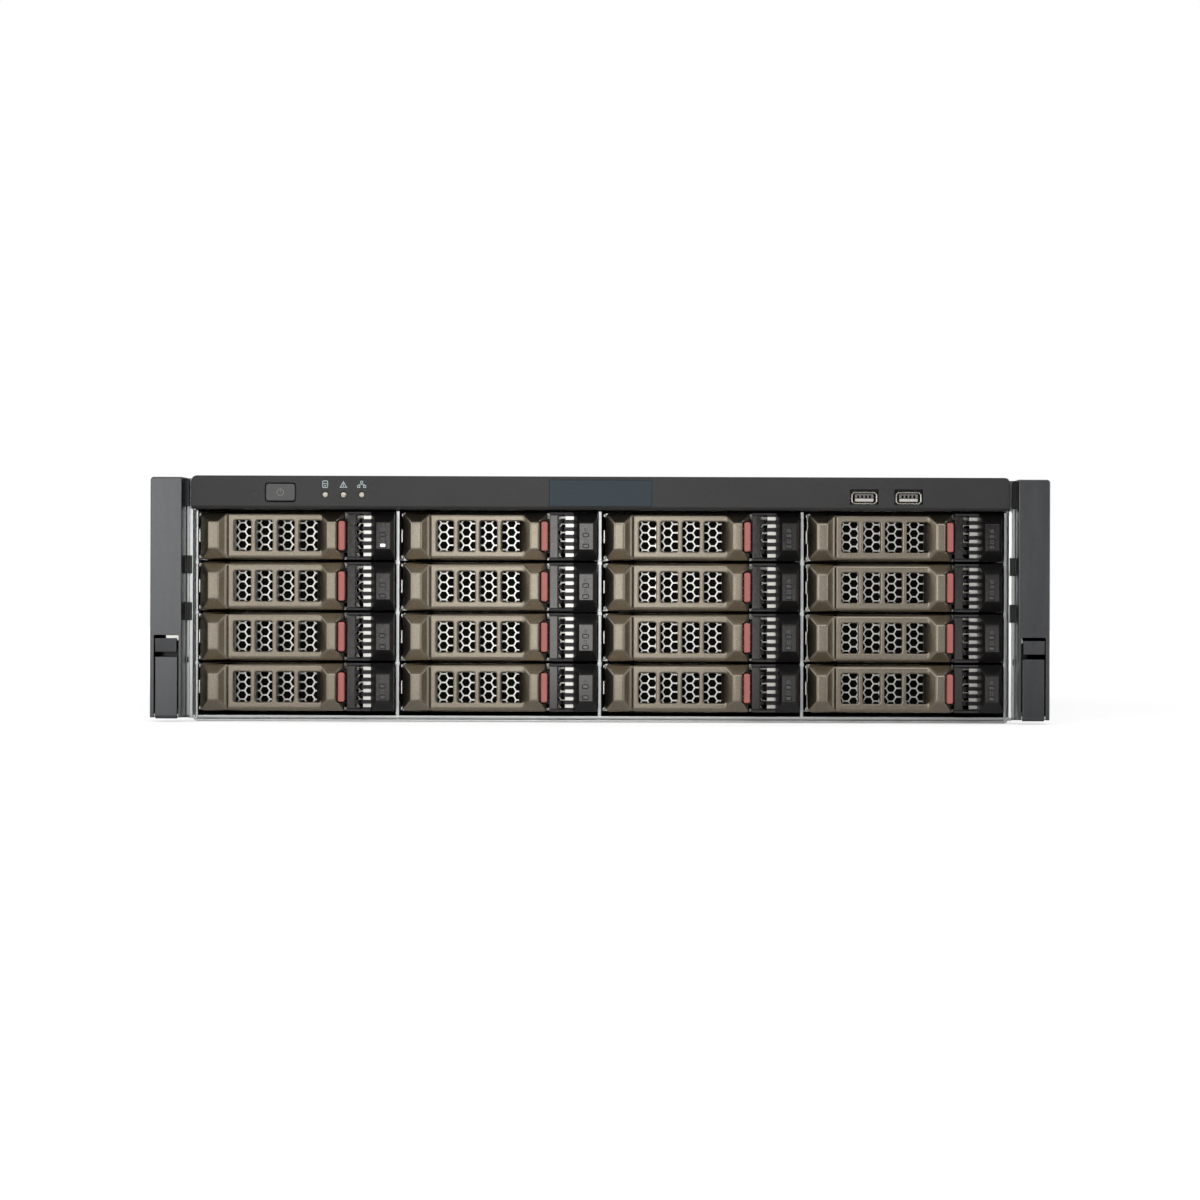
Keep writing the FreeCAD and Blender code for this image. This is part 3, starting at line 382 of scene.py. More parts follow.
def pick(piece, kind, test):
    """Open a piece for editing with only the parts that pass the test selected."""
    take(piece)
    bpy.ops.object.mode_set(mode="EDIT")
    bpy.ops.mesh.select_mode(type=kind)
    bpy.ops.mesh.select_all(action="DESELECT")
    mesh = bmesh.from_edit_mesh(piece.data)
    parts = {"VERT": mesh.verts, "EDGE": mesh.edges, "FACE": mesh.faces}[kind]
    for part in parts:
        if test(part):
            part.select_set(True)
    mesh.select_flush_mode()
    bmesh.update_edit_mesh(piece.data)


def close():
    bpy.ops.object.mode_set(mode="OBJECT")


print("edges, faces and corners are picked by a test")

# %% [markdown]
# ### Shaping
# An operator then cuts, rounds or moves what was picked. A plane gives a slope its exact lie,
# so sloped faces are sliced; moving corners is for tapers, where a whole side leans.

# %% Shaping


def slice_off(piece, point, normal):
    """Cut with a plane, remove what lies on the normal's side and close the cut."""
    pick(piece, "FACE", every)
    away = Vector(normal).normalized()
    bpy.ops.mesh.bisect(plane_co=place(*point), plane_no=away, use_fill=True, clear_outer=True)
    close()


def round_edges(piece, radius, segments, test):
    pick(piece, "EDGE", test)
    bpy.ops.mesh.bevel(offset=radius * MM, segments=segments, affect="EDGES")
    close()


def shift(piece, test, x, y, z):
    """Move the corners that pass the test."""
    pick(piece, "VERT", test)
    bpy.ops.transform.translate(value=place(x, y, z))
    close()


print("a piece is sliced, rounded or shifted")

# %% [markdown]
# ### Modifiers
# Booleans cut one shape out of another, and a bevel softens the edges.
# Each modifier is applied at once, so that the next step works on the real faces.

# %% Modifiers


def settle(piece, modifier):
    take(piece)
    bpy.ops.object.modifier_apply(modifier=modifier.name)
    return piece


def carve(piece, tool, operation="DIFFERENCE"):
    """Cut a tool out of a piece, or weld it on, and remove the tool."""
    modifier = piece.modifiers.new("carve", "BOOLEAN")
    modifier.operation = operation
    modifier.solver = "EXACT"
    modifier.object = tool
    settle(piece, modifier)
    bpy.data.objects.remove(tool)
    return piece


def level_shading(piece):
    """Let large faces rule the shading, so that flat ones look flat and only their edges turn."""
    modifier = piece.modifiers.new("level", "WEIGHTED_NORMAL")
    modifier.keep_sharp = True
    return settle(piece, modifier)


def soften(piece, width, segments=2, angle=28):
    """Round every sharp edge a little."""
    take(piece)
    bpy.ops.object.shade_smooth()
    modifier = piece.modifiers.new("soften", "BEVEL")
    modifier.width = width * MM
    modifier.segments = segments
    modifier.limit_method = "ANGLE"
    modifier.angle_limit = math.radians(angle)
    modifier.use_clamp_overlap = False
    settle(piece, modifier)
    return level_shading(piece)


def smoothed(piece, degrees):
    """Shade smoothly over edges that turn by less than an angle."""
    take(piece)
    bpy.ops.object.shade_smooth_by_angle(angle=math.radians(degrees))
    return piece


print("a piece is carved, softened or smoothed")

# %% [markdown]
# ### Joining and coating
# Pieces are joined, coated with a finish and put on the body that they move with.
# A piece that is needed many times is copied with its mesh, because each copy belongs to another body.

# %% Joining and coating


def joined(name, *pieces):
    """Several pieces as one mesh, each keeping its own materials."""
    take(pieces[0])
    for piece in pieces[1:]:
        piece.select_set(True)
    bpy.ops.object.join()
    bpy.context.object.name = name
    return level_shading(bpy.context.object)


def coat(piece, *materials):
    piece.data.materials.clear()
    for material in materials:
        piece.data.materials.append(material)
    return piece


def copied(piece, name, x, y, z):
    """The same piece in another place, with its own mesh."""
    twin = piece.copy()
    twin.data = piece.data.copy()
    twin.name = name
    twin.data.name = name
    twin.data.transform(Matrix.Translation(place(x, y, z)))
    bpy.context.scene.collection.objects.link(twin)
    return twin


def rides(piece, body, stands_for):
    """Put a piece on its body and hide the node that it stands for."""
    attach(piece, body)
    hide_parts(stands_for)


print("a finished piece rides on a body")

# %% [markdown]
# ## Tray lever
# Each tray closes with a cast lever: a bar with sloped top and bottom, a raised lug at each end,
# and a lowered panel with four windows between them. It could be drawn as a profile and extruded,
# but its faces slope in two directions, so a block is sliced with planes and the panel is carved from it.

# %% Tray lever
MID = 13.6
LEVER_FRONT = -253.2
LEVER_BASE = -246.8
LEVER_BACK = -244.2
LEVER_LEFT = -52.2
LEVER_RIGHT = 25.6
LEVER_HALF = 13.0
LUG_HALF = 7.1
PANEL_FRONT = -248.6
BEYOND = 20.0


def slope_bar(bar):
    """Slice the sloped top and bottom that the lever and the tray front share."""
    rise = LEVER_HALF - LUG_HALF
    run = LEVER_BASE - LEVER_FRONT
    for side in (1, -1):
        slice_off(bar, (0, LEVER_BASE, MID + side * LEVER_HALF), (0, -rise, side * run))


lever = block("lever", (LEVER_LEFT, LEVER_FRONT, MID - LEVER_HALF),
              (LEVER_RIGHT, LEVER_BACK, MID + LEVER_HALF))
slope_bar(lever)
slice_off(lever, (LEVER_LEFT, LEVER_BASE, MID), (-6.4, -5.2, 0))
slice_off(lever, (LEVER_RIGHT, LEVER_BASE, MID), (6.4, -4.1, 0))
for side in (1, -1):
    slice_off(lever, (LEVER_LEFT, LEVER_BASE, MID + side * 10.2), (-2.6, 0, side * 1.6))
recess = block("recess", (-42.6, -254.2, MID - BEYOND), (17.9, PANEL_FRONT, MID + BEYOND))
shift(recess, lambda corner: middle(corner).x < 0 and middle(corner).y > -250, 4.2, 0, 0)
shift(recess, lambda corner: middle(corner).x > 0 and middle(corner).y > -250, -4.83, 0, 0)
carve(lever, recess)
crease = block("crease", (-39.3, -249.8, MID - BEYOND), (-37.1, -247.6, MID + BEYOND))
shift(crease, lambda corner: middle(corner).x < -38 and middle(corner).y > -249, 1.7, 0, 0)
carve(lever, crease)
print("bar of the lever", len(lever.data.polygons), "faces")

# %% [markdown]
# ### Windows and bore of the lever
# The windows have rounded corners, and the last one opens into a ramp for the finger.
# They and the notch for the red button are cut together; then come the slots and the bore of the hinge.
# The edges are softened last, which gives them the bright line of a cast and lacquered part.

# %% Windows and bore of the lever
WINDOW_LEFTS = (-34.0, -22.3, -10.6, 1.1)
WINDOW_WIDTH = 9.2
WINDOW_HALF = 8.1
NOTCH_LEFT = 22.0
NOTCH_HALF = 8.2
HINGE_X = -47.3
HINGE_Y = -245.7
tools = []
for left in WINDOW_LEFTS:
    right = left + WINDOW_WIDTH
    tool = block("window", (left, -250.6, MID - WINDOW_HALF), (right, -243.2, MID + WINDOW_HALF))
    if left == WINDOW_LEFTS[-1]:
        shift(tool, lambda corner: middle(corner).x > 5 and middle(corner).y < -250, 14.6 - right, 0, 0)
        shift(tool, lambda corner: middle(corner).x > 5 and middle(corner).y > -244, 9.6 - right, 0, 0)
    round_edges(tool, 1.2, 4, lambda edge: abs(middle(edge).y + 246.9) < 1)
    tools.append(tool)
tools.append(block("notch", (NOTCH_LEFT, -254.2, MID - NOTCH_HALF), (26.6, -243.2, MID + NOTCH_HALF)))
carve(lever, joined("cutters", *tools))
for side in (1, -1):
    slot = block("hinge_slot", (-49.8, -248.2, MID + side * 7.5), (-44.8, -243.2, MID + side * 11.1))
    shift(slot, lambda corner: middle(corner).x < -49, -3.4, 0, 0)
    shift(slot, lambda corner: middle(corner).x < -49 and middle(corner).y < -248, 0, 2.8, 0)
    carve(lever, slot)
carve(lever, rod("bore", (HINGE_X, HINGE_Y, MID - 7.6), (HINGE_X, HINGE_Y, MID + 7.6), 1.3, 20))
soften(lever, 0.85, 4)
coat(lever, bronze)
print("lever", len(lever.data.polygons), "faces")

# %% [markdown]
# ## Release button
# A red key sits in a notch at the right end of the lever and is pressed inwards to free it.
# Seen from the front it is a narrow bar with round corners, and its face is crowned.
# The corner edges are rounded first, so that the ring of front edges can then be rounded in one go.

# %% Release button
KEY_LEFT = 22.5
KEY_RIGHT = 26.1
KEY_FRONT = -251.7
KEY_HALF = 7.9
key = block("button", (KEY_LEFT, KEY_FRONT, MID - KEY_HALF), (KEY_RIGHT, -240.7, MID + KEY_HALF))
round_edges(key, 1.0, 4, front_to_back)
round_edges(key, 0.8, 4, lambda edge: in_front(edge, KEY_FRONT))
take(key)
bpy.ops.object.shade_smooth()
coat(level_shading(key), red_abs)
print("button", len(key.data.polygons), "faces")

# %% [markdown]
# ## Perforated front of the sled
# Behind the lever stands the front plate of the sled, punched with hexagons for the cooling air.
# Holes could be cut by booleans, but so many would be slow; flat faces are arrayed and opened instead.
# Printed signs start as flat faces too, and other rows of slots use the same array.

# %% Flat faces and rows


def flat_disc(x, y, z, radius, sides, turn=0):
    """A flat face with many sides that looks to the front."""
    clear_selection()
    bpy.ops.mesh.primitive_circle_add(
        vertices=sides, radius=radius * MM, fill_type="NGON", location=place(x, y, z),
        rotation=(math.radians(90), math.radians(turn), 0))
    return applied()


def flat_box(x, y, z, width, height):
    """A flat rectangle that looks to the front."""
    clear_selection()
    bpy.ops.mesh.primitive_plane_add(size=1, location=place(x, y, z), rotation=(math.radians(90), 0, 0))
    bpy.ops.transform.resize(value=(width * MM, 1, height * MM))
    return applied()


def repeated(piece, count, x, z):
    modifier = piece.modifiers.new("repeat", "ARRAY")
    modifier.count = count
    modifier.use_relative_offset = False
    modifier.use_constant_offset = True
    modifier.constant_offset_displace = place(x, 0, z)
    settle(piece, modifier)


print("flat discs and boxes, and rows of them")

# %% [markdown]
# ### Hexagons of the plate
# One hexagon with an inset is arrayed in two interleaved fields; where their rims meet they are merged.
# The space out to the edge of the plate is filled between the two outlines. Only then are the holes opened,
# so that every hole is whole and the plate has a plain border as a punched sheet does.

# %% Hexagons of the plate
GRILLE_FRONT = -238.2
HEX_PITCH = 4.71
HEX_HOLE = 3.95
HEX_RADIUS = HEX_PITCH / math.sqrt(3)
TRAY_HALF = 52.5
GRILLE_HEIGHT = 25.4
GRILLE_SHEET = 0.8
LAST_COLUMN = 34.25
MESH_DEPTH = 4.2
EVEN_COLUMNS = 10
EVEN_ROWS = 5


def hexagons(first_x, first_z, across, up):
    """A field of standing hexagons with an inset rim, in every second column."""
    cell = flat_disc(first_x, GRILLE_FRONT, first_z, HEX_RADIUS, 6, 30)
    pick(cell, "FACE", every)
    bpy.ops.mesh.inset(thickness=(HEX_PITCH - HEX_HOLE) / 2 * MM)
    close()
    repeated(cell, across, 3 * HEX_RADIUS, 0)
    repeated(cell, up, 0, HEX_PITCH)
    return cell


first = LAST_COLUMN - (EVEN_COLUMNS - 1) * 3 * HEX_RADIUS
even = hexagons(first, MID - 2 * HEX_PITCH, EVEN_COLUMNS, EVEN_ROWS)
odd = hexagons(first + 1.5 * HEX_RADIUS, MID - 1.5 * HEX_PITCH, EVEN_COLUMNS - 1, EVEN_ROWS - 1)
border = flat_box(0, GRILLE_FRONT, MID, 2 * TRAY_HALF, GRILLE_HEIGHT)
pick(border, "FACE", every)
bpy.ops.mesh.delete(type="ONLY_FACE")
close()
grille = joined("grille", even, odd, border)
pick(grille, "VERT", every)
bpy.ops.mesh.remove_doubles(threshold=0.02 * MM)
pick(grille, "EDGE", lambda edge: len(edge.link_faces) < 2)
bpy.ops.mesh.fill(use_beauty=True)
pick(grille, "FACE", lambda face: len(face.verts) == 6)
bpy.ops.mesh.delete(type="FACE")
pick(grille, "FACE", every)
bpy.ops.mesh.normals_make_consistent(inside=False)
close()
thickness = grille.modifiers.new("sheet", "SOLIDIFY")
thickness.thickness = GRILLE_SHEET * MM
thickness.offset = 0
settle(grille, thickness)
grille.data.transform(Matrix.Translation(place(0, MESH_DEPTH, 0)))
print("grille", len(grille.data.polygons), "faces")

# %% [markdown]
# ### Shade fins
# Black fins stand on the punched plate behind the bars between the windows, moulded onto it.
# Their black is painted shade: it stands in for the dark deep in each window beside its bars.

# %% Shade fins
FIN_HALF = 8.6
fins = []
for left in (*WINDOW_LEFTS, WINDOW_LEFTS[-1] + WINDOW_WIDTH + 2.5):
    # Each fin is black as painted shade beside a bar.
    fin = block("fin", (left - 2.3, -243.2, MID - FIN_HALF),
                (left - 0.1, GRILLE_FRONT + MESH_DEPTH, MID + FIN_HALF))
    fins.append(coat(soften(fin, 0.2), black_abs))
shade_fins = joined("shade_fins", *fins)
print("shade fins", len(shade_fins.data.polygons), "faces")

# %% [markdown]
# ## Rails, spring and hinge of the sled
# The sled is one folded strip: the punched plate and a rail along each side of the drive.
# A bent contact spring stands out on the left, and a small bracket with a pin carries the lever.
# These are plain folded shapes, so softened blocks are joined to the plate as one piece of steel.

# %% Rails, spring and hinge
DRIVE_HALF = 50.8
rails = []
for low, high in ((-TRAY_HALF, -DRIVE_HALF), (DRIVE_HALF, TRAY_HALF)):
    rail = block("rail", (low, GRILLE_FRONT, 1.8), (high, -88.4, 21.8))
    for y in (-200.0, -140.0, -100.0):
        carve(rail, rod("screw_hole", (low - 1, y, 8.0), (high + 1, y, 8.0), 1.9, 16))
    rails.append(soften(rail, 0.25))
spring = block("spring", (-53.35, -244.0, MID - 3.6), (-52.4, -226.2, MID + 3.6))
rails.append(soften(spring, 0.3, 3))
for level in (11.4, -11.4):
    tip = block("tip", (-53.2, -243.6, MID + level - 0.9), (-52.4, GRILLE_FRONT + 1, MID + level + 0.9))
    rails.append(soften(tip, 0.2))
sled = coat(joined("sled", grille, *rails), plated)
hinge_parts = [block("spine", (-49.5, -240.2, 2.8), (-41.1, GRILLE_FRONT, 24.4))]
for low, high in ((2.8, 5.8), (21.4, 24.4)):
    ear = block("hinge_ear", (-49.5, -247.9, low), (-45.1, GRILLE_FRONT, high))
    round_edges(ear, 2.0, 5, lambda edge: runs_along(edge, "Z") and middle(edge).y < -247)
    hinge_parts.append(ear)
hinge_parts = [soften(part, 0.2) for part in hinge_parts]
pin = rod("hinge_pin", (HINGE_X, HINGE_Y, 2.6), (HINGE_X, HINGE_Y, 24.6), 1.25, 16)
round_edges(pin, 0.3, 2, lambda edge: not runs_along(edge, "Z"))
hinge = coat(joined("hinge", *hinge_parts, pin), plated)
print("sled", len(sled.data.polygons), "faces; hinge", len(hinge.data.polygons), "faces")

# %% [markdown]
# ## Tray front moulding
# To the right of the lever a black moulding fills the tray: a vented plate and a raised block for lamps.
# The block has the slopes of the lever, so the same slices make it. Its flat front is painted glossy black,
# so those faces are picked by the way they face.

# %% Tray front moulding
BLOCK_LEFT = 40.0
LAMP_X = 46.7
LAMP_LEVELS = (0.7, -5.2)
raised = block("moulding", (BLOCK_LEFT, LEVER_FRONT, MID - LEVER_HALF),
               (TRAY_HALF, GRILLE_FRONT, MID + LEVER_HALF))
slope_bar(raised)
slice_off(raised, (BLOCK_LEFT, LEVER_BASE, MID), (-6.4, -3.2, 0))
slice_off(raised, (TRAY_HALF, LEVER_FRONT + 3.0, MID), (3.0, -1.8, 0))
for level in LAMP_LEVELS:
    socket = block("lamp_socket", (LAMP_X - 1.5, LEVER_FRONT - 1, MID + level - 0.95),
                   (LAMP_X + 1.5, LEVER_FRONT + 0.6, MID + level + 0.95))
    round_edges(socket, 0.6, 3, front_to_back)
    carve(raised, socket)
soften(raised, 0.3, 3)
coat(raised, black_abs, black_paint)
for face in raised.data.polygons:
    face.material_index = int(face.normal.y < -0.98 and face.center.y / MM < LEVER_FRONT + 0.05)
print("raised block", len(raised.data.polygons), "faces")

# %% [markdown]
# ### Vent of the tray front
# The vent's ribs start flush with the plate and bend back in a quarter round.
# Six slots between them show a strip of bright steel behind; all six are cut at once.
# A glossy cheek lies beside the slots, and two thin tabs close the vent at its top and bottom.
# The guide of the release button is a short frame behind them.

# %% Vent of the tray front
SLOT_LEFT = 31.6
VENT_LEFT = 27.0
VENT_FRONT = -246.2
VENT_BACK = -241.2
VENT_HALF = 13.0
SLOT_COUNT = 6
SLOT_PITCH = 4.0
SLOT_HALF = 0.95
vent = block("vent", (VENT_LEFT, VENT_FRONT, MID - VENT_HALF), (34.6, VENT_BACK, MID + VENT_HALF))
round_edges(vent, 2.6, 6, lambda edge: in_front(edge, VENT_FRONT) and middle(edge).x > 34)
ribs = block("ribs", (33.0, -243.2, MID - VENT_HALF), (BLOCK_LEFT + 0.4, VENT_BACK, MID + VENT_HALF))
carve(vent, ribs, "UNION")
slots = []
for index in range(SLOT_COUNT):
    level = MID + (index - (SLOT_COUNT - 1) / 2) * SLOT_PITCH
    slot = block("slot", (SLOT_LEFT, -248, level - SLOT_HALF), (BLOCK_LEFT - 0.1, -240, level + SLOT_HALF))
    round_edges(slot, 0.6, 3, lambda edge: front_to_back(edge) and middle(edge).x > 35)
    slots.append(slot)
carve(vent, joined("slots", *slots))
coat(soften(vent, 0.15), black_abs)
backing = block("backing", (35.2, -241.25, MID - 12.0), (BLOCK_LEFT - 0.1, -240.6, MID + 12.0))
coat(soften(backing, 0.15), plated)
cheek = block("cheek", (VENT_LEFT + 0.1, -246.6, MID - 11.5), (SLOT_LEFT - 0.3, -246.0, MID + 11.5))
coat(soften(cheek, 0.2), black_paint)
tabs = []
for low, high in ((11.8, 12.9), (-12.9, -11.8)):
    tab = block("tab", (VENT_LEFT - 0.3, -249.2, MID + low), (BLOCK_LEFT + 0.2, GRILLE_FRONT, MID + high))
    round_edges(tab, 1.0, 4, lambda edge: runs_along(edge, "Z") and middle(edge).y < -249)
    tabs.append(coat(soften(tab, 0.2), charcoal_abs))
guide = block("guide", (21.15, -243.7, MID - 9.05), (27.9, GRILLE_FRONT, MID + 9.05))
carve(guide, block("key_way", (22.25, -245, MID - 8.15), (26.35, -237, MID + 8.15)))
coat(soften(guide, 0.15), black_abs)
moulding = joined("moulding", raised, vent, backing, cheek, *tabs, guide, shade_fins)
print("moulding", len(moulding.data.polygons), "faces")

# %% [markdown]
# ## Lamps and signs of the tray
# The block carries two small light windows: smoked lenses that are set into it, and on one tray
# the lower one is lit. A lens is a block with rounded corners; the lit one glows a little unevenly.

# %% Lamps of the tray
smoked = mottled("smoked_lens_acrylic", "#333334", "#6b6b6c", 0.0, 0.18, 1.5)
tune(smoked, "Coat Weight", 0.6)
lit, shader, where = finish("lit_lens_acrylic", "#f4f6f4", 0.0, 0.2)
glow = node(lit, "ShaderNodeTexNoise", {"Vector": where, "Scale": per_mm(2.0)})
shade = node(lit, "ShaderNodeMix", data_type="RGBA", inputs={
    "Factor": glow.outputs["Fac"], COLOUR_A: linear("#e8ecea"), COLOUR_B: linear("#ffffff")})
link(lit, shade.outputs[COLOUR_OUT], shader, "Emission Color")
tune(lit, "Emission Strength", 0.9)
lamps = []
for level in LAMP_LEVELS:
    lamp = block("lamp", (LAMP_X - 1.4, LEVER_FRONT + 0.1, MID + level - 0.85),
                 (LAMP_X + 1.4, LEVER_FRONT + 0.6, MID + level + 0.85))
    round_edges(lamp, 0.55, 3, front_to_back)
    lamps.append(coat(soften(lamp, 0.12), smoked))
print(len(lamps), "lamps of", len(lamp.data.polygons), "faces")

# %% [markdown]
# ### Signs of the tray
# A sign is printed over each lamp: a disc and a box. They are thin outlines of ink.
# A flat circle or square is inset and its middle removed, which leaves a line of even width,
# and a short extrusion gives it the thickness of a print.

# %% Signs of the tray
PRINT_DEPTH = 0.04
ink = mottled("grey_printed_ink", "#535354", "#6d6d6e", 0.0, 0.5, 0.8)


def raised_sign(piece):
    """Give a flat sign the thickness of a print."""
    pick(piece, "FACE", every)
    bpy.ops.mesh.extrude_region_move(TRANSFORM_OT_translate={"value": place(0, -PRINT_DEPTH, 0)})
    bpy.ops.mesh.select_all(action="SELECT")
    bpy.ops.mesh.normals_make_consistent(inside=False)
    close()
    return piece


def outline_sign(piece, line, keep=every):
    """Turn a flat face into an outline of a given line width and print it."""
    pick(piece, "FACE", every)
    bpy.ops.mesh.inset(thickness=line * MM)
    bpy.ops.mesh.delete(type="FACE")
    pick(piece, "FACE", lambda face: not keep(face))
    bpy.ops.mesh.delete(type="FACE")
    close()
    return raised_sign(piece)


signs = [
    outline_sign(flat_disc(LAMP_X, LEVER_FRONT, MID + 3.5, 0.95, 20), 0.28),
    outline_sign(flat_disc(LAMP_X, LEVER_FRONT, MID + 3.5, 0.42, 12), 0.2),
    outline_sign(flat_box(LAMP_X, LEVER_FRONT, MID - 2.4, 1.7, 1.9), 0.28),
]
signs = coat(joined("signs", *signs), ink)
print("signs", len(signs.data.polygons), "faces")

# %% [markdown]
# ## Hard drive
# A drive fills the sled: a black-coated cast body and a bright lid with a pressed ring and screws.
# It shows only when a tray is drawn out, so softened blocks and a few turned details are enough.

# %% Hard drive
# The body is black-coated, and its near-black colour and weak gloss are also painted shade for the dark
# seen through the grille's holes.
coated = moulded("black_casting_and_bay_shade", "#070707", "#131211", 0.8, 0.6, 0.04)
tune(coated, "Specular IOR Level", 0.15)
SPINDLE_Y = -175
SCREW_LOW = 26.0
SCREW_HIGH = 26.5
body = coat(soften(block("drive", (-DRIVE_HALF, -232.4, 0.5), (DRIVE_HALF, -85.4, 22.6)), 0.8, 3), coated)
lid = coat(soften(block("lid", (-49.3, -230.9, 22.6), (49.3, -86.9, 26.2)), 0.9, 3), plated)
boss = rod("pressed_ring", (0, SPINDLE_Y, 26.1), (0, SPINDLE_Y, 26.55), 36, 48)
carve(boss, rod("pressed_ring_hole", (0, SPINDLE_Y, 25), (0, SPINDLE_Y, 27), 30, 48))
coat(soften(boss, 0.18), plated)
screws = []
for x in (-45.5, 45.5):
    for y in (-226.0, -158.0, -92.0):
        screws.append(rod("lid_screw", (x, y, SCREW_LOW), (x, y, SCREW_HIGH), 2.2, 16))
screws.append(rod("lid_screw", (0, SPINDLE_Y, SCREW_LOW), (0, SPINDLE_Y, SCREW_HIGH), 3.0, 20))
for screw in screws:
    pick(screw, "FACE", lambda face: face.normal.z > 0.9)
    bpy.ops.mesh.inset(thickness=1.0 * MM)
    bpy.ops.transform.translate(value=place(0, 0, -0.25))
    close()
    coat(soften(screw, 0.1), plated)
drive = joined("drive", body, lid, boss, *screws)
print("drive", len(drive.data.polygons), "faces")

# %% [markdown]
# ## Front bezel
# A charcoal moulding runs across the front above the trays, with a chamfer below and round upper corners.
# A block has these edges rounded, is hollowed from behind and softened.

# %% Front bezel
BEZEL_FRONT = -254.2
BEZEL_BACK = -244.2
BEZEL_LOW = 114.4
BEZEL_HIGH = 132.3
BEZEL_MID = (BEZEL_LOW + BEZEL_HIGH) / 2
BEZEL_HALF = 220.0
BEZEL_WALL = 2.2
bezel = block("bezel", (-BEZEL_HALF, BEZEL_FRONT, BEZEL_LOW), (BEZEL_HALF, BEZEL_BACK, BEZEL_HIGH))
round_edges(bezel, 3.0, 6, lambda edge: front_to_back(edge) and middle(edge).z > BEZEL_MID)
round_edges(bezel, 1.5, 1, lambda edge: in_front(edge, BEZEL_FRONT) and middle(edge).z < BEZEL_LOW + 0.1)
carve(bezel, block("hollow", (-BEZEL_HALF + BEZEL_WALL, BEZEL_FRONT + BEZEL_WALL, BEZEL_LOW + BEZEL_WALL),
                   (BEZEL_HALF - BEZEL_WALL, BEZEL_BACK + 1, BEZEL_HIGH - BEZEL_WALL)))
soften(bezel, 0.5, 3)
print("plain bezel", len(bezel.data.polygons), "faces")

# %% [markdown]
# ### Openings of the bezel
# The bezel is pierced for the button, the lamps and the sockets, and a shallow recess takes a plate.
# All cutters are joined first, so that one boolean makes every opening.
# Ejector pins leave faint rings on such a moulding; flattened tori, a few hundredths proud, give them.

# %% Openings of the bezel
POWER_X = -172.0
LAMP_PLACES = (-148.0, -138.2, -128.4)
LAMP_LEVEL = 122.1
SOCKET_PLACES = (141.7, 165.5)
SOCKET_MID = 121.7
EJECTOR_PLACES = ((-185.8, 121.4), (-122.0, 125.7), (60.3, 121.6), (129.5, 120.3), (153.6, 127.6),
                  (197.6, 120.2))
PLATE_WIDE = 27.7
PLATE_HIGH = 7.2
PLATE_DEPTH = 0.8
BEFORE_BEZEL = -256.0
BEHIND_FACE = -251.0
opening = block("opening", (POWER_X - 8.4, BEFORE_BEZEL, BEZEL_MID - 5.4),
                (POWER_X + 8.4, BEHIND_FACE, BEZEL_MID + 5.2))
round_edges(opening, 1.7, 4, front_to_back)
openings = [opening]
for x in LAMP_PLACES:
    openings.append(rod("opening", (x, BEFORE_BEZEL, LAMP_LEVEL), (x, BEHIND_FACE, LAMP_LEVEL), 1.85, 28))
for x in SOCKET_PLACES:
    openings.append(block("opening", (x - 7.65, BEFORE_BEZEL, SOCKET_MID - 4.15),
                          (x + 7.65, BEHIND_FACE, SOCKET_MID + 4.25)))
openings.append(block("opening", (-PLATE_WIDE, BEFORE_BEZEL, BEZEL_MID - PLATE_HIGH),
                      (PLATE_WIDE, BEZEL_FRONT + PLATE_DEPTH, BEZEL_MID + PLATE_HIGH)))
carve(bezel, joined("openings", *openings))
smoothed(bezel, 40)
rings = []
for x, z in EJECTOR_PLACES:
    clear_selection()
    bpy.ops.mesh.primitive_torus_add(
        location=place(x, BEZEL_FRONT, z), rotation=(math.radians(90), 0, 0),
        major_radius=2.7 * MM, minor_radius=0.13 * MM, major_segments=40, minor_segments=6)
    ring = applied()
    pick(ring, "VERT", every)
    bpy.ops.transform.resize(value=(1, 0.3, 1), center_override=place(x, BEZEL_FRONT, z))
    close()
    bpy.ops.object.shade_smooth()
    rings.append(ring)
bezel = coat(joined("front_bezel_piece", bezel, *rings), charcoal_abs)
print("bezel", len(bezel.data.polygons), "faces")

# %% [markdown]
# ## Bare plate on the bezel
# A thin plate of blue-grey aluminium is glued into a shallow recess in the middle of the bezel.
# It is left bare. Its edges are rounded, and its brushed finish runs along its length.

# %% Bare plate on the bezel
slate, shader, where = finish("brushed_slate_aluminium", "#3f4a52", 0.55, 0.42)
strokes = node(slate, "ShaderNodeMapping", {"Vector": where, "Scale": (0.03, 1.0, 1.0)})
lines = node(slate, "ShaderNodeTexNoise", inputs={
    "Vector": strokes.outputs["Vector"], "Scale": per_mm(0.35), "Detail": 3.0})
shade = node(slate, "ShaderNodeMix", data_type="RGBA", inputs={
    "Factor": lines.outputs["Fac"], COLOUR_A: linear("#323b42"), COLOUR_B: linear("#424d54")})
link(slate, shade.outputs[COLOUR_OUT], shader, "Base Color")
gloss = node(slate, "ShaderNodeMapRange", {"Value": lines.outputs["Fac"], "To Min": 0.36, "To Max": 0.5})
link(slate, gloss.outputs["Result"], shader, "Roughness")
PLATE_GAP = 0.1
plate = block("plain_plate_piece",
              (-PLATE_WIDE + PLATE_GAP, BEZEL_FRONT + 0.05, BEZEL_MID - PLATE_HIGH + PLATE_GAP),
              (PLATE_WIDE - PLATE_GAP, BEZEL_FRONT + PLATE_DEPTH, BEZEL_MID + PLATE_HIGH - PLATE_GAP))
round_edges(plate, 0.4, 3, front_to_back)
coat(soften(plate, 0.2, 3), slate)
print("bare plate", len(plate.data.polygons), "faces")

# %% [markdown]
# ## Power button
# The button is a cap with a flange behind the bezel and a stem that reaches the switch.
# The cap's corners are rounded first and the ring of its front edges after them.
# The standby sign is printed on it: a ring with a gap and a short bar.

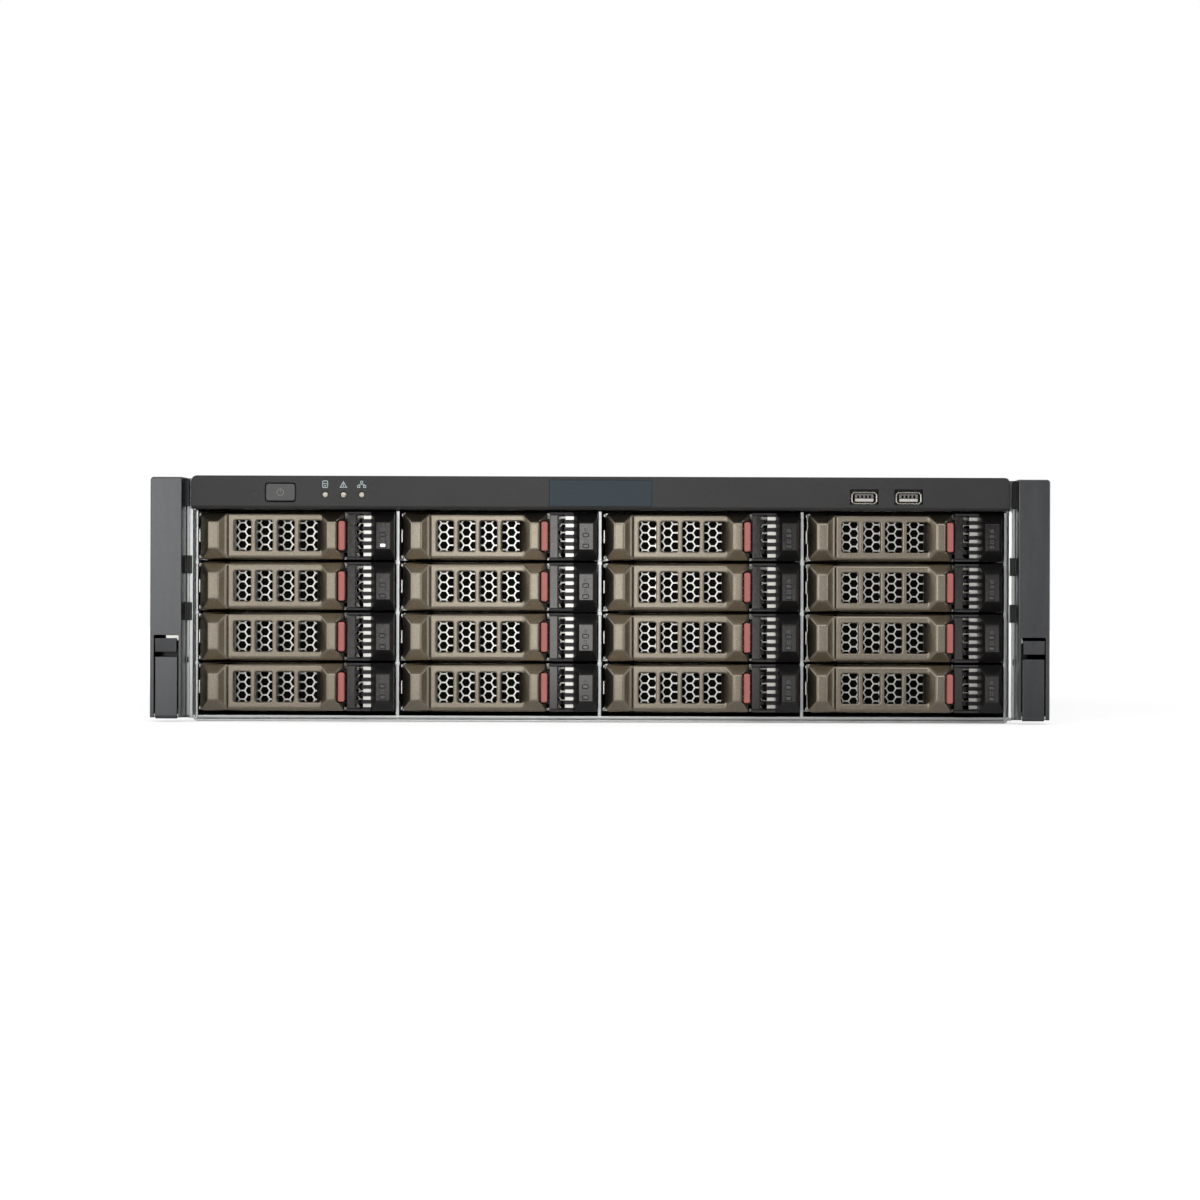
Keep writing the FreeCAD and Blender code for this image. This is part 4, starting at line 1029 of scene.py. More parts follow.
# %% Power button
tan_ink = mottled("beige_printed_ink", "#868177", "#b3aea3", 0.0, 0.5, 0.6)
CAP_FRONT = -254.8
CAP_BACK = -251.7
cap = block("cap", (POWER_X - 7.75, CAP_FRONT, BEZEL_MID - 4.6),
            (POWER_X + 7.75, CAP_BACK, BEZEL_MID + 4.6))
round_edges(cap, 1.4, 4, front_to_back)
round_edges(cap, 0.55, 4, lambda edge: in_front(edge, CAP_FRONT))
flange = block("flange", (POWER_X - 9.2, CAP_BACK, BEZEL_MID - 4.7),
               (POWER_X + 9.2, -250.2, BEZEL_MID + 4.7))
stem = rod("stem", (POWER_X, CAP_BACK, BEZEL_MID), (POWER_X, BEZEL_BACK, BEZEL_MID), 1.6)
for part in (flange, stem):
    coat(soften(part, 0.2), black_abs)
cap = joined("power_button_piece", coat(smoothed(cap, 30), satin_abs), flange, stem)
standby = [
    outline_sign(flat_disc(POWER_X, CAP_FRONT, BEZEL_MID - 0.1, 1.95, 40), 0.3,
                 lambda face: abs(middle(face).x - POWER_X) > 0.55 or middle(face).z < BEZEL_MID),
    raised_sign(flat_box(POWER_X, CAP_FRONT, BEZEL_MID + 1.25, 0.3, 1.9)),
]
standby = coat(joined("standby_sign_piece", *standby), tan_ink)
print("power button", len(cap.data.polygons), "faces")

# %% [markdown]
# ## Lamps of the bezel
# Three light pipes end in round, frosted lenses, each in a hole with a dark rim.
# A lens is a rod with a strongly rounded end; a cell pattern gives it the facets of a diffuser.

# %% Lamps of the bezel
frosted, shader, where = finish("frosted_lens_acrylic", "#e9dfcf", 0.0, 0.3)
facets = node(frosted, "ShaderNodeTexVoronoi", {"Vector": where, "Scale": per_mm(0.9)})
shade = node(frosted, "ShaderNodeMix", data_type="RGBA", inputs={
    "Factor": facets.outputs["Color"], COLOUR_A: linear("#c9b79c"), COLOUR_B: linear("#fffaf0")})
link(frosted, shade.outputs[COLOUR_OUT], shader, "Base Color")
relief = node(frosted, "ShaderNodeBump", inputs={
    "Height": facets.outputs["Distance"], "Strength": 0.5, "Distance": 0.2 * MM})
link(frosted, relief.outputs["Normal"], shader, "Normal")
tune(frosted, "Coat Weight", 0.5)
tune(frosted, "Coat Roughness", 0.08)

lenses = []
for x in LAMP_PLACES:
    lens_rod = rod("lens", (x, BEZEL_FRONT, LAMP_LEVEL), (x, -240.4, LAMP_LEVEL), 1.6, 28)
    round_edges(lens_rod, 1.0, 5, lambda edge: in_front(edge, BEZEL_FRONT))
    lenses.append(smoothed(lens_rod, 40))
lenses = coat(joined("bezel_lenses_piece", *lenses), frosted)
print("lenses", len(lenses.data.polygons), "faces")

# %% [markdown]
# ### Signs of the bezel
# A sign is printed over each lens: a drive can, a triangle with a stroke, and linked boxes.
# They are put together from the outlines and bars that the trays' signs use.

# %% Signs of the bezel
SIGN_LEVEL = 127.7
pale_ink = mottled("pale_printed_ink", "#b4c1c8", "#d6e0e4", 0.0, 0.5, 0.8)
can_x, alert_x, net_x = LAMP_PLACES
can = flat_box(can_x, BEZEL_FRONT, SIGN_LEVEL, 3.1, 4.0)
pick(can, "VERT", every)
bpy.ops.mesh.bevel(offset=0.8 * MM, segments=4, affect="VERTICES")
close()
emblems = [
    outline_sign(can, 0.42),
    raised_sign(flat_box(can_x, BEZEL_FRONT, SIGN_LEVEL + 0.35, 2.5, 0.42)),
    raised_sign(flat_box(can_x, BEZEL_FRONT, SIGN_LEVEL - 0.85, 1.2, 0.5)),
    outline_sign(flat_disc(alert_x, BEZEL_FRONT, SIGN_LEVEL - 0.6, 2.4, 3), 0.45),
    raised_sign(flat_box(alert_x, BEZEL_FRONT, SIGN_LEVEL - 0.25, 0.45, 1.3)),
    raised_sign(flat_box(alert_x, BEZEL_FRONT, SIGN_LEVEL - 1.25, 0.45, 0.4)),
    outline_sign(flat_box(net_x, BEZEL_FRONT, SIGN_LEVEL + 1.15, 1.5, 1.4), 0.38),
    raised_sign(flat_box(net_x, BEZEL_FRONT, SIGN_LEVEL + 0.2, 0.36, 0.5)),
    raised_sign(flat_box(net_x, BEZEL_FRONT, SIGN_LEVEL - 0.1, 3.5, 0.34)),
]
for way in (-1.6, 1.6):
    emblems.append(outline_sign(flat_box(net_x + way, BEZEL_FRONT, SIGN_LEVEL - 1.2, 1.6, 1.4), 0.38))
emblems = coat(joined("bezel_signs_piece", *emblems), pale_ink)
print("signs", len(emblems.data.polygons), "faces")

# %% [markdown]
# ## Data sockets of the bezel
# Two data sockets show a bright shell with cut corners, and inside it a white tongue below grey contacts.
# The corner edges of a block are cut, its front is inset for the lip and then pushed in to make the mouth.
# The mouth's walls are lined in black, which is painted shade of its depth.
# A black collar behind the bezel closes the gap round the shell.

# %% Data sockets of the bezel
PLATING_GLOSS = (0.18, 0.34)
nickel = mottled("nickel_plated_steel", "#e4ddcf", "#f6f1e6", 1.0, 0.28, 2.5, 3.0, PLATING_GLOSS)
white_nylon = moulded("white_moulded_nylon", "#dcd9d2", "#eeece6", 0.8, 0.4, 0.02)
grey_nylon = moulded("grey_moulded_nylon", "#8b8a87", "#a09f9b", 0.8, 0.45, 0.02)

SHELL_FRONT = -253.6
INSERT_BACK = -243.0
CONTACT_PITCH = 2.1
data_socket = []
for x in SOCKET_PLACES:
    shell = block("shell", (x - 6.9, SHELL_FRONT, SOCKET_MID - 3.7), (x + 6.9, -236.4, SOCKET_MID + 2.8))
    round_edges(shell, 1.3, 1, front_to_back)
    pick(shell, "FACE", lambda face: face.normal.y < -0.9)
    bpy.ops.mesh.inset(thickness=0.45 * MM)
    bpy.ops.transform.translate(value=place(0, 0.5, 0))
    bpy.ops.mesh.inset(thickness=0.2 * MM)
    bpy.ops.mesh.extrude_region_move(TRANSFORM_OT_translate={"value": place(0, 9.0, 0)})
    close()
    coat(soften(shell, 0.15), nickel, black_abs)
    # Faces inside the mouth take black as painted shade of its depth.
    for face in shell.data.polygons:
        shade_lining = abs(face.center.x / MM - x) < 6.35 and abs(face.center.z / MM - SOCKET_MID + 0.45) < 2.7
        face.material_index = int(shade_lining and face.center.y / MM > SHELL_FRONT + 0.8)
    data_socket.append(shell)
    tongue = block("tongue", (x - 5.0, SHELL_FRONT + 0.9, SOCKET_MID - 2.4),
                   (x + 5.0, INSERT_BACK, SOCKET_MID - 0.7))
    data_socket.append(coat(soften(tongue, 0.2), white_nylon))
    wall = block("wall", (x - 5.0, SHELL_FRONT + 1.6, SOCKET_MID - 0.3),
                 (x + 5.0, INSERT_BACK, SOCKET_MID + 1.8))
    for step in (-1.5, -0.5, 0.5, 1.5):
        spot = x + step * CONTACT_PITCH
        notch = block("notch", (spot - 0.6, -254, SOCKET_MID - 0.4), (spot + 0.6, -244, SOCKET_MID + 1.1))
        carve(wall, notch)
    data_socket.append(coat(soften(wall, 0.08), grey_nylon))
    collar = block("collar", (x - 8.2, -248.6, SOCKET_MID - 4.6), (x + 8.2, -247.8, SOCKET_MID + 4.6))
    carve(collar, block("mouth", (x - 6.4, -250, SOCKET_MID - 3.3), (x + 6.4, -246, SOCKET_MID + 2.4)))
    data_socket.append(coat(soften(collar, 0.1), black_abs))
sockets = joined("data_sockets_piece", *data_socket)
print("data sockets", len(sockets.data.polygons), "faces")

# %% [markdown]
# ## Board behind the bezel
# A narrow circuit board carries the sockets, the light pipes and the switch of the power button.
# It is hidden from the front, so a board with its standoffs and the switch block is enough.

# %% Board behind the bezel
mask, shader, where = finish("green_solder_mask", "#173f2b", 0.0, 0.35)
weave = node(mask, "ShaderNodeTexNoise", {"Vector": where, "Scale": per_mm(3), "Detail": 4.0})
tracks = node(mask, "ShaderNodeTexVoronoi", {"Vector": where, "Scale": per_mm(4)}, distance="MANHATTAN")
etched = node(mask, "ShaderNodeMath", operation="MULTIPLY", inputs={
    0: weave.outputs["Fac"], 1: tracks.outputs["Distance"]})
shade = node(mask, "ShaderNodeMix", data_type="RGBA", inputs={
    "Factor": etched.outputs["Value"], COLOUR_A: linear("#12331f"), COLOUR_B: linear("#2d6b45")})
link(mask, shade.outputs[COLOUR_OUT], shader, "Base Color")
tune(mask, "Coat Weight", 0.4)

IO_LOW = 116.6
IO_HIGH = 118.2
io_parts = [coat(soften(block("board", (-184, -250.4, IO_LOW), (177.5, -212.2, IO_HIGH)), 0.15), mask)]
for x in (POWER_X, 0.0, SOCKET_PLACES[1]):
    standoff = rod("standoff", (x, -224.2, 115.0), (x, -224.2, IO_LOW), 2.5, 6)
    io_parts.append(coat(soften(standoff, 0.15), nickel))
switch = block("switch", (-176.7, -242.4, IO_HIGH), (-167.3, -233.0, 128.05))
io_parts.append(coat(soften(switch, 0.4), black_abs))
io_board = joined("front_io_board_piece", *io_parts)

rides(bezel, "chassis", "front_bezel")
rides(plate, "chassis", "front_bezel")
rides(emblems, "chassis", "front_bezel")
rides(cap, "power_button", "power_button")
rides(standby, "power_button", "power_button")
rides(lenses, "chassis", "front_io_board")
rides(sockets, "chassis", "front_io_board")
rides(io_board, "chassis", "front_io_board")
print("board behind the bezel", len(io_board.data.polygons), "faces")

# %% [markdown]
# ## Rack ears and flaps
# A grey cover stands at each side of the front. Its inner edge slopes back, its outer corner is round,
# and a window low down holds a sloped finger grip and a small door over the rack screw.
# The same functions make both sides, with the sign of X telling left from right.

# %% Rack ears
EAR_INNER = 223.7
EAR_OUTER = 241.3
EAR_LOW = 2.2
EAR_HIGH = 131.3
FLANGE_FRONT = -234.2
FLAP_INNER = 226.65
FLAP_OUTER = 238.45
WINDOW_TOP = 46.4
EAR_WALL = 2.0


def ear_cover(side):
    """The hollow cover of one rack ear, with its window."""
    cover = block("cover", (side * EAR_INNER, EAR_FRONT, EAR_LOW),
                  (side * EAR_OUTER, FLANGE_FRONT, EAR_HIGH))
    slice_off(cover, (side * EAR_INNER, EAR_FRONT + 6.0, 60), (-side * 6.0, -0.9, 0))
    round_edges(cover, 1.8, 5, lambda edge: front_to_back(edge) and middle(edge).z > 130 and
                abs(middle(edge).x) > 240)
    round_edges(cover, 0.8, 4, lambda edge: in_front(edge, EAR_FRONT) and
                (abs(middle(edge).x) > 239 or middle(edge).z > 129))
    carve(cover, block("hollow", (side * 225.95, EAR_FRONT + EAR_WALL, EAR_LOW + EAR_WALL),
                       (side * (EAR_OUTER - EAR_WALL), FLANGE_FRONT + 1, EAR_HIGH - EAR_WALL)))
    carve(cover, block("window", (side * (FLAP_INNER - 0.7), EAR_FRONT - 1, EAR_LOW - 1),
                       (side * (FLAP_OUTER + 0.7), FLANGE_FRONT + 1, WINDOW_TOP)))
    return coat(soften(cover, 0.3, 3), silver_paint)


def window_parts(side):
    """What shows in the window: the grip, a black wall and two black strips as painted shade, and a steel
    tab.
    """
    grip = block("grip", (side * (FLAP_INNER + 0.4), EAR_FRONT + 0.4, 37.3),
                 (side * (FLAP_OUTER + 0.4), EAR_FRONT + 3.0, 44.8))
    shift(grip, lambda corner: middle(corner).z < 40, 0, 1.0, 0)
    parts = [coat(soften(grip, 0.4, 3), silver_paint)]
    # A black wall behind the grip is painted shade for the depth of the window.
    shade_wall = block("shade_wall", (side * (FLAP_INNER - 0.5), EAR_FRONT + 7.2, 30.0),
                       (side * (FLAP_OUTER + 0.5), EAR_FRONT + 8.2, WINDOW_TOP + 2.0))
    parts.append(coat(soften(shade_wall, 0.2), black_abs))
    # Black strips behind the gaps beside the flap are painted shade in those gaps.
    for near, far in ((FLAP_INNER - 0.9, FLAP_INNER + 1.4), (FLAP_OUTER - 1.4, FLAP_OUTER + 0.9)):
        gap_shade = block("gap_shade", (side * near, EAR_FRONT + 4.6, 6.5), (side * far, EAR_FRONT + 5.4, 34.0))
        parts.append(coat(soften(gap_shade, 0.15), black_abs))
    tab = block("steel_tab", (side * (FLAP_INNER - 0.6), EAR_FRONT + 2.4, 43.5),
                (side * (FLAP_INNER + 6.4), EAR_FRONT + 3.6, WINDOW_TOP + 1.0))
    parts.append(coat(soften(tab, 0.2), plated))
    return parts


print("an ear is", EAR_OUTER - EAR_INNER, "mm wide")

# %% [markdown]
# ### Clips, pins and flaps of the ears
# Two grooved clips and a shoulder hold each cover beside the trays and the bezel.
# The flap turns on a pin along its lower edge.
# It is a block with a barrel joined to it and a bore cut through both.

# %% Clips, pins and flaps of the ears
CLIP_LEVELS = (54.4, 79.6)
FLAP_AXIS_Y = -256.1
FLAP_AXIS_Z = 3.5
SHOULDER_BACK = -246.2


def flap_rod(name, start, end, radius, sides):
    """A rod along the axis that a flap turns about."""
    return rod(name, (start, FLAP_AXIS_Y, FLAP_AXIS_Z), (end, FLAP_AXIS_Y, FLAP_AXIS_Z), radius, sides)


def clip_parts(side):
    """Two clips, the shoulder beside the bezel and the pin of the flap."""
    parts = []
    for level in CLIP_LEVELS:
        clip = block("clip", (side * 220.4, -249.8, level), (side * 224.7, SHOULDER_BACK, level + 9.7))
        for x in (221.4, 222.6):
            groove = block("groove", (side * x, -251, level - 1), (side * (x + 0.5), -249.0, level + 11))
            carve(clip, groove)
        parts.append(coat(soften(clip, 0.15), charcoal_abs))
    shoulder = block("shoulder", (side * 221.5, -249.6, 115.6),
                     (side * 224.7, SHOULDER_BACK, EAR_HIGH - 0.4))
    round_edges(shoulder, 1.2, 4, lambda edge: front_to_back(edge) and middle(edge).z > 130)
    parts.append(coat(soften(shoulder, 0.25), black_abs))
    parts.append(coat(soften(flap_rod("pin", side * 224.5, side * 239.4, 1.0, 16), 0.1), plated))
    return parts


def flap(side, name):
    """Door over the rack screw, with its hinge barrel along the bottom."""
    door = block(f"{name}_flap_piece", (side * FLAP_INNER, -258.0, FLAP_AXIS_Z),
                 (side * FLAP_OUTER, -255.0, 34.8))
    carve(door, flap_rod("barrel", side * FLAP_INNER, side * FLAP_OUTER, 1.9, 24), "UNION")
    carve(door, flap_rod("bore", side * 220, side * 245, 1.05, 16))
    return coat(soften(door, 0.3, 3), silver_paint)


for side, name in ((1, "right"), (-1, "left")):
    ear = joined(f"{name}_ear_piece", ear_cover(side), *window_parts(side), *clip_parts(side))
    rides(ear, "chassis", "rack_ears")
    door = flap(side, name)
    rides(door, f"{name}_ear_flap", f"{name}_ear_flap")
print("two ears of", len(ear.data.polygons), "faces, two flaps of", len(door.data.polygons))

# %% [markdown]
# ## Chassis
# The chassis is folded from galvanised sheet: a pan with a bend along each lower side.
# It is a block with rounded lower edges from which the inside is cut, rounded in the same way.
# Holes in its walls take the screws of the rack's rails, and the front edge of each wall is notched
# beside the trays.

# %% Chassis
CHASSIS_HALF = 220.0
INNER_HALF = 218.8
SHEET = 1.2
CHASSIS_FRONT = -244.2
CHASSIS_REAR = 257.4
WALL_TOP = 131.3
CAGE_TOP = 113.8
RAIL_HOLES = ((-14.2, 46.25), (-14.2, 86.25), (165.8, 46.25), (165.8, 86.25))

pan = block("pan", (-CHASSIS_HALF, CHASSIS_FRONT, 0), (CHASSIS_HALF, CHASSIS_REAR, WALL_TOP))
round_edges(pan, 2.4, 5, lambda edge: front_to_back(edge) and middle(edge).z < 1)
inside = block("inside", (-INNER_HALF, CHASSIS_FRONT - 1, SHEET),
               (INNER_HALF, CHASSIS_REAR + 1, WALL_TOP + 1))
round_edges(inside, 1.2, 4, lambda edge: front_to_back(edge) and middle(edge).z < 2)
carve(pan, inside)
for y, z in RAIL_HOLES:
    carve(pan, rod("rail_hole", (-230, y, z), (230, y, z), 2.1, 24))
for side in (1, -1):
    gap = block("gap", (side * 218.7, CHASSIS_FRONT - 1, 3.4), (side * 221, CHASSIS_FRONT + 8, CAGE_TOP))
    carve(pan, gap)
soften(pan, 0.2)
print("pan", len(pan.data.polygons), "faces")

# %% [markdown]
# ### Cage of the chassis
# A lip stands along the front, and a cage of upright plates with ledges carries the trays under a lid.
# These are plain plates, so each is a block between two corners, softened and joined to the pan.

# %% Cage of the chassis
CAGE_REAR = -79.0
CAGE_INNER = 217.65
CAGE_GAP = 0.7
LIP_HALF = 217.6
FOLD_LOW = 130.1
FOLD_INNER = 211.0
LEDGE_REACH = 2.75
BAY_PITCH_X = 109.2
BAY_PITCH_Z = 27.2
FIRST_FLOOR = 5.0
sheets = [
    block("lip", (-LIP_HALF, CHASSIS_FRONT, 1.9), (LIP_HALF, CHASSIS_FRONT + 1.0, 3.3)),
    block("lip_web", (-LIP_HALF, CHASSIS_FRONT + 0.9, 2.1), (LIP_HALF, CHASSIS_FRONT + 5.0, 3.1)),
    block("lip_fold", (-LIP_HALF, CHASSIS_FRONT + 4.0, SHEET), (LIP_HALF, CHASSIS_FRONT + 5.0, 3.0)),
    block("lid", (-INNER_HALF, CHASSIS_FRONT + 6.0, CAGE_TOP + CAGE_GAP),
          (INNER_HALF, -77.0, CAGE_TOP + CAGE_GAP + SHEET)),
]
for side in (1, -1):
    sheets.append(block("flange", (side * FOLD_INNER, CHASSIS_FRONT, FOLD_LOW),
                        (side * INNER_HALF, CHASSIS_REAR, WALL_TOP)))
plates = [(x - 1.5, x + 0.3) for x in (-BAY_PITCH_X, 0.0, BAY_PITCH_X)]
plates += [(-INNER_HALF, -CAGE_INNER), (CAGE_INNER, INNER_HALF)]
for left, right in plates:
    sheets.append(block("plate", (left, CHASSIS_FRONT + SHEET, SHEET), (right, CAGE_REAR, CAGE_TOP)))
    for row in range(4):
        low = FIRST_FLOOR + row * BAY_PITCH_Z + 0.3
        if row:
            nub = block("nub", (left - 0.3, CHASSIS_FRONT + 0.9, low - 2.2), (right + 0.3, -241.0, low))
            sheets.append(nub)
        for start, end in ((left - LEDGE_REACH, left), (right, right + LEDGE_REACH)):
            if max(abs(start), abs(end)) < INNER_HALF:
                sheets.append(block("ledge", (start, -226.2, low), (end, -87.0, low + SHEET)))
for sheet in sheets:
    soften(sheet, 0.2)
chassis = coat(joined("chassis_piece", pan, *sheets), zinc)
print("chassis", len(chassis.data.polygons), "faces")

# %% [markdown]
# ## Ear brackets
# A steel angle at each side has a lip that shows as a bright strip beside the trays.
# Its leg lies along the wall and its flange meets the rack. A shallow groove splits the lip into two bands.
# Each side is three softened plates, with a countersink for each screw of the leg.

# %% Ear brackets
BRACKET_INNER = 220.05
BRACKET_TOP = 131.0
LIP_FRONT = -246.2
GROOVE = 221.75
LEG_SCREW_Y = -205.0
LEG_SCREWS = (25.0, 66.0, 107.0)
RACK_HOLE_X = 232.55
RACK_HOLE_Z = 21.8


def bracket(side):
    """Lip, leg and flange of the angle at one side."""
    lip = block("lip", (side * BRACKET_INNER, LIP_FRONT, 3.0), (side * EAR_INNER, -244.4, BRACKET_TOP))
    round_edges(lip, 0.6, 4, lambda edge: runs_along(edge, "Z") and in_front(edge, LIP_FRONT))
    slice_off(lip, (side * GROOVE, LIP_FRONT, 60), (-side * 0.25, -1.0, 0))
    carve(lip, block("groove", (side * GROOVE, -247, 0), (side * (GROOVE + 0.2), -246.0, 133)))
    hole = block("hole", (side * 222.3, -247, 31.4), (side * 223.1, -243, 34.6))
    round_edges(hole, 0.39, 3, front_to_back)
    carve(lip, hole)
    leg = block("leg", (side * BRACKET_INNER, -244.6, 1.5), (side * 221.8, -182.2, BRACKET_TOP))
    for z in LEG_SCREWS:
        sink = rod("countersink", (side * 221.3, LEG_SCREW_Y, z), (side * 224, LEG_SCREW_Y, z), 3.2, 24)
        carve(leg, sink)
    flange = block("flange", (side * BRACKET_INNER, FLANGE_FRONT, 1.5),
                   (side * EAR_OUTER, -232.4, BRACKET_TOP))
    x = side * RACK_HOLE_X
    carve(flange, rod("rack_hole", (x, -240, RACK_HOLE_Z), (x, -225, RACK_HOLE_Z), 3.4, 28))
    return [soften(part, 0.15) for part in (lip, leg, flange)]


brackets = coat(joined("ear_brackets_piece", *bracket(1), *bracket(-1)), zinc)
print("brackets", len(brackets.data.polygons), "faces")

# %% [markdown]
# ### Screws of the brackets
# A screw's head is a short rod, and two crossing blocks cut its recess.
# Heads on the sides, the top and the rear are alike, so the function is told which way a head faces.

# %% Screws of the brackets


def screw_head(name, spot, outward, radius, height):
    """A low round head with a cross recess, made at a place and facing outward."""
    start = Vector(spot)
    way = Vector(outward)
    head = rod(name, start, start + way * height, radius, 24)
    flat = [axis for axis in range(3) if not way[axis]]
    for long_axis, short_axis in (flat, flat[::-1]):
        half = Vector((0, 0, 0))
        half[long_axis] = radius * 0.6
        half[short_axis] = radius * 0.13
        centre = start + way * height
        depth = way * (height * 0.5)
        carve(head, block("cross", centre - half - depth, centre + half + depth))
    return coat(soften(head, min(0.25, height * 0.3)), nickel)


heads = []
for side in (1, -1):
    for z in LEG_SCREWS:
        heads.append(screw_head("bracket_screw", (side * 221.2, LEG_SCREW_Y, z), (side, 0, 0), 2.9, 0.6))
heads = joined("bracket_screws_piece", *heads)
for piece in (chassis, brackets, heads):
    rides(piece, "chassis", "chassis")
print("bracket screws", len(heads.data.polygons), "faces")

# %% [markdown]
# ## Top cover
# One sheet closes the top and slides off to the rear once its screws are out.
# Two shallow finger dimples help to push it, and a seam parts it from the strip over the trays.
# A plate is carved for them, and the folds at its sides and its rear are softened strips below it.

# %% Top cover
COVER_TOP = 132.5
SINK = COVER_TOP - 0.8
PANEL_INNER = 256.2
COVER_SCREWS = [(x, y) for x in (-214.4, 214.4) for y in (-226.0, -80.0, 90.0, 240.0)]
DIMPLE_DEPTH = 0.8
DIMPLE_RADIUS = 14.0
DIMPLE_Y = 170.0
FOLD_OUTER = 209.8
cover = block("cover", (-CHASSIS_HALF, CHASSIS_FRONT, WALL_TOP), (CHASSIS_HALF, CHASSIS_REAR, COVER_TOP))
round_edges(cover, 0.9, 4, lambda edge: middle(edge).z > COVER_TOP - 0.1 and not runs_along(edge, "Z"))
sinks = [rod("sink", (x, y, SINK), (x, y, COVER_TOP + 1), 3.4, 28) for x, y in COVER_SCREWS]
sinks.append(block("seam", (-230, -40.2, COVER_TOP - 0.6), (230, -39.8, COVER_TOP + 1)))
carve(cover, joined("sinks", *sinks))
ball = (DIMPLE_RADIUS ** 2 + DIMPLE_DEPTH ** 2) / (2 * DIMPLE_DEPTH)
for x in (-120.0, 120.0):
    clear_selection()
    bpy.ops.mesh.primitive_uv_sphere_add(segments=96, ring_count=192, radius=ball * MM,
                                         location=place(x, DIMPLE_Y, COVER_TOP + ball - DIMPLE_DEPTH))
    tool = applied()
    pick(tool, "VERT", lambda corner: middle(corner).z > COVER_TOP + 12)
    bpy.ops.mesh.delete(type="VERT")
    pick(tool, "EDGE", lambda edge: len(edge.link_faces) < 2)
    bpy.ops.mesh.edge_face_add()
    close()
    carve(cover, tool)
smoothed(cover, 30)
folds = [block("rear_fold", (-FOLD_OUTER, PANEL_INNER, FOLD_LOW), (FOLD_OUTER, CHASSIS_REAR, WALL_TOP))]
for side in (1, -1):
    folds.append(block("side_fold", (side * FOLD_OUTER, CHASSIS_FRONT, 121.3),
                       (side * FOLD_INNER, 255.0, WALL_TOP)))
folds = [soften(fold, 0.2) for fold in folds]
cover = coat(joined("top_cover_piece", cover, *folds), zinc)
cover_screws = [screw_head("cover_screw", (x, y, SINK), (0, 0, 1), 3.1, 0.7) for x, y in COVER_SCREWS]
cover_screws = joined("cover_screws_piece", *cover_screws)
for piece in (cover, cover_screws):
    rides(piece, "chassis", "top_cover")
print("top cover", len(cover.data.polygons), "faces")

# %% [markdown]
# ## Rear panel
# The rear is a steel panel with three openings: one for the power supply, one for a vented plate
# and one for the thin shield round the sockets. Each plate is a hair smaller than its opening, so a seam
# shows. One function makes the panel, the plates and the tools that cut them.

# %% Rear panel
SUPPLY_SPAN = (-209.8, -67.8, 5.2, 83.2)
VENT_SPAN = (-58.2, 205.8, 43.0, 105.0)
SHIELD_SPAN = (-51.97, 213.57, 3.7, 26.8)
SCREW_RISE = 0.75


def upright(name, span, less=0.0, over=0.0):
    """A plate in the plane of the rear panel; over makes it a tool that cuts right through."""
    left, right, low, high = span
    return block(name, (left + less, PANEL_INNER - over, low + less),
                 (right - less, CHASSIS_REAR + over, high - less))


def cross_screws(name, radius, *places):
    """Pan-head screws on the rear face."""
    heads = [screw_head("screw", (x, CHASSIS_REAR, z), (0, 1, 0), radius, SCREW_RISE) for x, z in places]
    return joined(name, *heads)


rear = upright("panel", (-INNER_HALF, INNER_HALF, SHEET, FOLD_LOW))
for span in (SUPPLY_SPAN, VENT_SPAN, SHIELD_SPAN):
    tool = upright("opening", span, 0, 2)
    round_edges(tool, 1.0, 4, front_to_back)
    carve(rear, tool)
rear = coat(soften(rear, 0.25), zinc)
rear.name = "rear_panel_piece"
rear_screws = cross_screws("rear_screws_piece", 2.9, *[(x, 120.0) for x in (-205.0, -70.0, 70.0, 205.0)],
                           (-214.3, 60.0), (212.5, 60.0), (-214.3, 20.0))
rides(rear, "chassis", "rear_panel")
rides(rear_screws, "chassis", "rear_panel")
print("rear panel", len(rear.data.polygons), "faces")

# %% [markdown]
# ### Vented plate
# The plate fills the upper opening. Its slots have round ends; one is arrayed in both directions
# and all are cut at once. A small screw holds each corner.

# %% Vented plate
SEAM = 0.15
vent_plate = upright("vent_plate", VENT_SPAN, SEAM)
round_edges(vent_plate, 1.0, 4, front_to_back)
slot = upright("slot", (-53.2, -7.2, 48.0, 52.0), 0, 2)
round_edges(slot, 1.9, 6, front_to_back)
repeated(slot, 5, 52, 0)
repeated(slot, 7, 0, 8)
carve(vent_plate, slot)
vent_plate = coat(soften(vent_plate, 0.2), zinc)
vent_plate.name = "rear_vent_piece"
vent_corners = [(x, z) for x in (-55.5, 203.1) for z in (45.6, 102.4)]
vent_screws = cross_screws("vent_screws_piece", 1.9, *vent_corners)
rides(vent_plate, "chassis", "rear_vent")
rides(vent_screws, "chassis", "rear_vent")
print("vented plate", len(vent_plate.data.polygons), "faces")

# %% [markdown]
# ## Rear sockets and their shield
# Along the rear edge of the board stand four network sockets, two for video, one for a screen, one for data
# and a long green header for alarm wires. Each kind is a softened block with its mouth carved in;
# what tells the kinds apart is inside the mouth: contacts, tongues, pins or a pierced insert.
# A kind has a width and a height, which its body and its cut in the shield share.

# %% Rear sockets
gold = mottled("gold_plated_contact", "#b08a3c", "#d9b25c", 1.0, 0.28, 2.5, 3.0, PLATING_GLOSS)
blue_nylon = moulded("blue_moulded_nylon", "#1f4f9c", "#2f62b4", 0.8, 0.4, 0.02)
green_nylon = moulded("green_moulded_nylon", "#2c7a46", "#3a9158", 0.9, 0.42, 0.02)
amber_lens = moulded("amber_lens_acrylic", "#c98a2b", "#e0a545", 0.6, 0.2, 0.01)
green_lens = moulded("green_lens_acrylic", "#3f9a50", "#5cb86a", 0.6, 0.2, 0.01)
BOARD_TOP = 9.3
SOCKET_BACK = 235.2
SOCKET_FACE = 258.1
NETWORK = (16.0, 13.5)
VIDEO = (15.2, 6.6)
SCREEN = (30.8, 12.5)
DATA = (14.5, 7.2)
ALARM = (76.0, 11.0)


